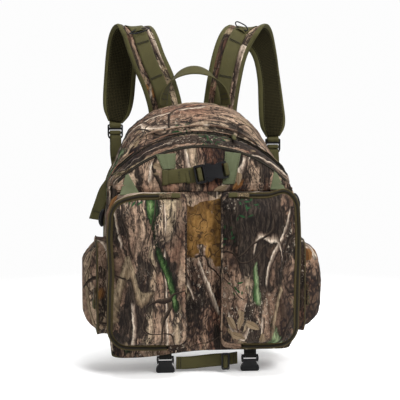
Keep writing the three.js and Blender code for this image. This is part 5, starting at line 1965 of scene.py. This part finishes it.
def pull_tab(node, length, half, mat):
    """A cloth tab folded through a zip pull."""
    low, high = (np.array(v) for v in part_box(node))
    slider_low, slider_high = (np.array(v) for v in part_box(node.replace("pull", "slider")))
    centre = (low + high) / 2
    way = centre - (slider_low + slider_high) / 2
    axis = int(np.argmax(np.abs(way) * (high - low)))
    way = unit(np.eye(3)[axis] * np.sign(way[axis]) + (0.35 * unit(way) if node == "organiser_pull" else 0))
    reach = (high - low)[axis] * 0.5
    face = pull_face(node, centre)
    face = unit(face - way * (face * way).sum())
    start = centre + way * reach * 0.45
    stop = centre + way * (reach + length)
    hang = np.array([0, 0, -0.006 if node == "main_pull" else 0.0])
    t = np.linspace(0, 1, 18)[:, None]
    line = start * (1 - t) + stop * t
    puff = np.clip(np.sin(np.pi * t), 0, 1) ** 0.5
    over = line + face * 0.0022 * puff + hang * t**2
    under = (line - face * 0.0014 * puff + hang * t**2)[::-1]
    piece = Piece(f"{node}_tab")
    piece.strap(np.vstack([over, under[1:]]), np.cross(face, way) * half, 0.0009, mat, columns=4)
    piece.build(node)


webbing_tail()
cord_toggle(-1, -0.1775, 0.240)
cord_toggle(1, 0.1805, 0.266)
for name in ("left", "right"):
    pull_tab(f"{name}_front_pull", 0.010, 0.0042, OLIVE_WEB)
    pull_tab(f"{name}_side_pull", 0.012, 0.0040, OLIVE_WEB)
pull_tab("main_pull", 0.019, 0.0034, BINDING)
pull_tab("organiser_pull", 0.012, 0.0034, OLIVE_WEB)


def dress(node, mat, bevel):
    """Gives a CAD piece its material and softens its edges."""
    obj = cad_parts[node]
    obj.data.materials.clear()
    obj.data.materials.append(mat)
    for poly in obj.data.polygons:
        poly.use_smooth = False
    mod = obj.modifiers.new("edges", "BEVEL")
    mod.width, mod.segments = bevel, 3
    mod.limit_method, mod.angle_limit = "ANGLE", math.radians(32)
    mod.harden_normals = True


MOULDED = ("front_buckle_socket", "front_buckle_plug", "bottom_tri_glide")
SIDED = ("bottom_buckle", "ladder_lock")
for node in MOULDED + tuple(f"{side}_{kind}" for side in ("left", "right") for kind in SIDED):
    dress(node, PLASTIC, 0.0007)
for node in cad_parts:
    if node.endswith("_slider") or node.endswith("_pull"):
        dress(node, METAL, 0.00025)
dress("frame_sheet", BOARD, 0.0005)


# ---------------------------------------------------------------- studio
def studio():
    size, floor_z = 12.0, -0.0450
    mesh = bpy.data.meshes.new("studio_floor")
    mesh.from_pydata(
        [(-size, -size, floor_z), (size, -size, floor_z), (size, size, floor_z), (-size, size, floor_z)], [],
        [(0, 1, 2, 3)],
    )
    floor = bpy.data.objects.new("studio_floor", mesh)
    bpy.context.scene.collection.objects.link(floor)
    m = Mat("pale_floor")
    m.finish((0.90, 0.90, 0.90), 0.95, spec=0.0)
    camera_ray = m.node("ShaderNodeLightPath").outputs["Is Camera Ray"]
    m.link(m.bsdf, "Emission Color", (1, 1, 1, 1))
    m.link(m.bsdf, "Emission Strength", m.mul(camera_ray, 0.22))
    spread = m.node("ShaderNodeVectorMath", _operation="LENGTH", i0=m.place()).outputs["Value"]
    m.link(m.bsdf, "Alpha", m.invert(m.step(spread, 0.45, 1.25)))
    mesh.materials.append(m.mat)
    scene = bpy.context.scene
    scene.view_settings.view_transform = "Standard"
    world = bpy.data.worlds.new("studio")
    scene.world = world
    world.use_nodes = True
    tree = world.node_tree
    ray = tree.nodes.new("ShaderNodeLightPath")
    level = tree.nodes.new("ShaderNodeMapRange")
    level.inputs["To Min"].default_value, level.inputs["To Max"].default_value = 0.25, 0.98
    tree.links.new(ray.outputs["Is Camera Ray"], level.inputs["Value"])
    tree.links.new(level.outputs[0], tree.nodes["Background"].inputs[1])
    tree.nodes["Background"].inputs[0].default_value = (1, 1, 1, 1)
    for name, at, width, power in (
        ("key", (1.25, -2.1, 2.1), 1.1, 82),
        ("fill", (-2.1, -2.0, 0.9), 2.0, 24),
        ("top", (0.1, -0.3, 2.5), 1.3, 56),
        ("rear", (0.8, 2.4, 1.6), 1.6, 40),
    ):
        light = bpy.data.lights.new(name, "AREA")
        light.energy, light.size = power, width
        obj = bpy.data.objects.new(name, light)
        obj.location = at
        obj.rotation_euler = (Vector((0, 0, 0.28)) - obj.location).to_track_quat("-Z", "Y").to_euler()
        scene.collection.objects.link(obj)


def camera():
    target = Vector((-0.009, -0.100, 0.282))
    az, el, distance = math.radians(-6), math.radians(6), 2.700
    cam = bpy.data.cameras.new("camera")
    cam.lens, cam.sensor_width = 135, 36
    obj = bpy.data.objects.new("camera", cam)
    obj.location = target + Vector(
        (math.sin(az) * math.cos(el), -math.cos(az) * math.cos(el), math.sin(el))
    ) * distance
    obj.rotation_euler = (target - obj.location).to_track_quat("-Z", "Y").to_euler()
    bpy.context.scene.collection.objects.link(obj)
    bpy.context.scene.camera = obj


studio()
camera()
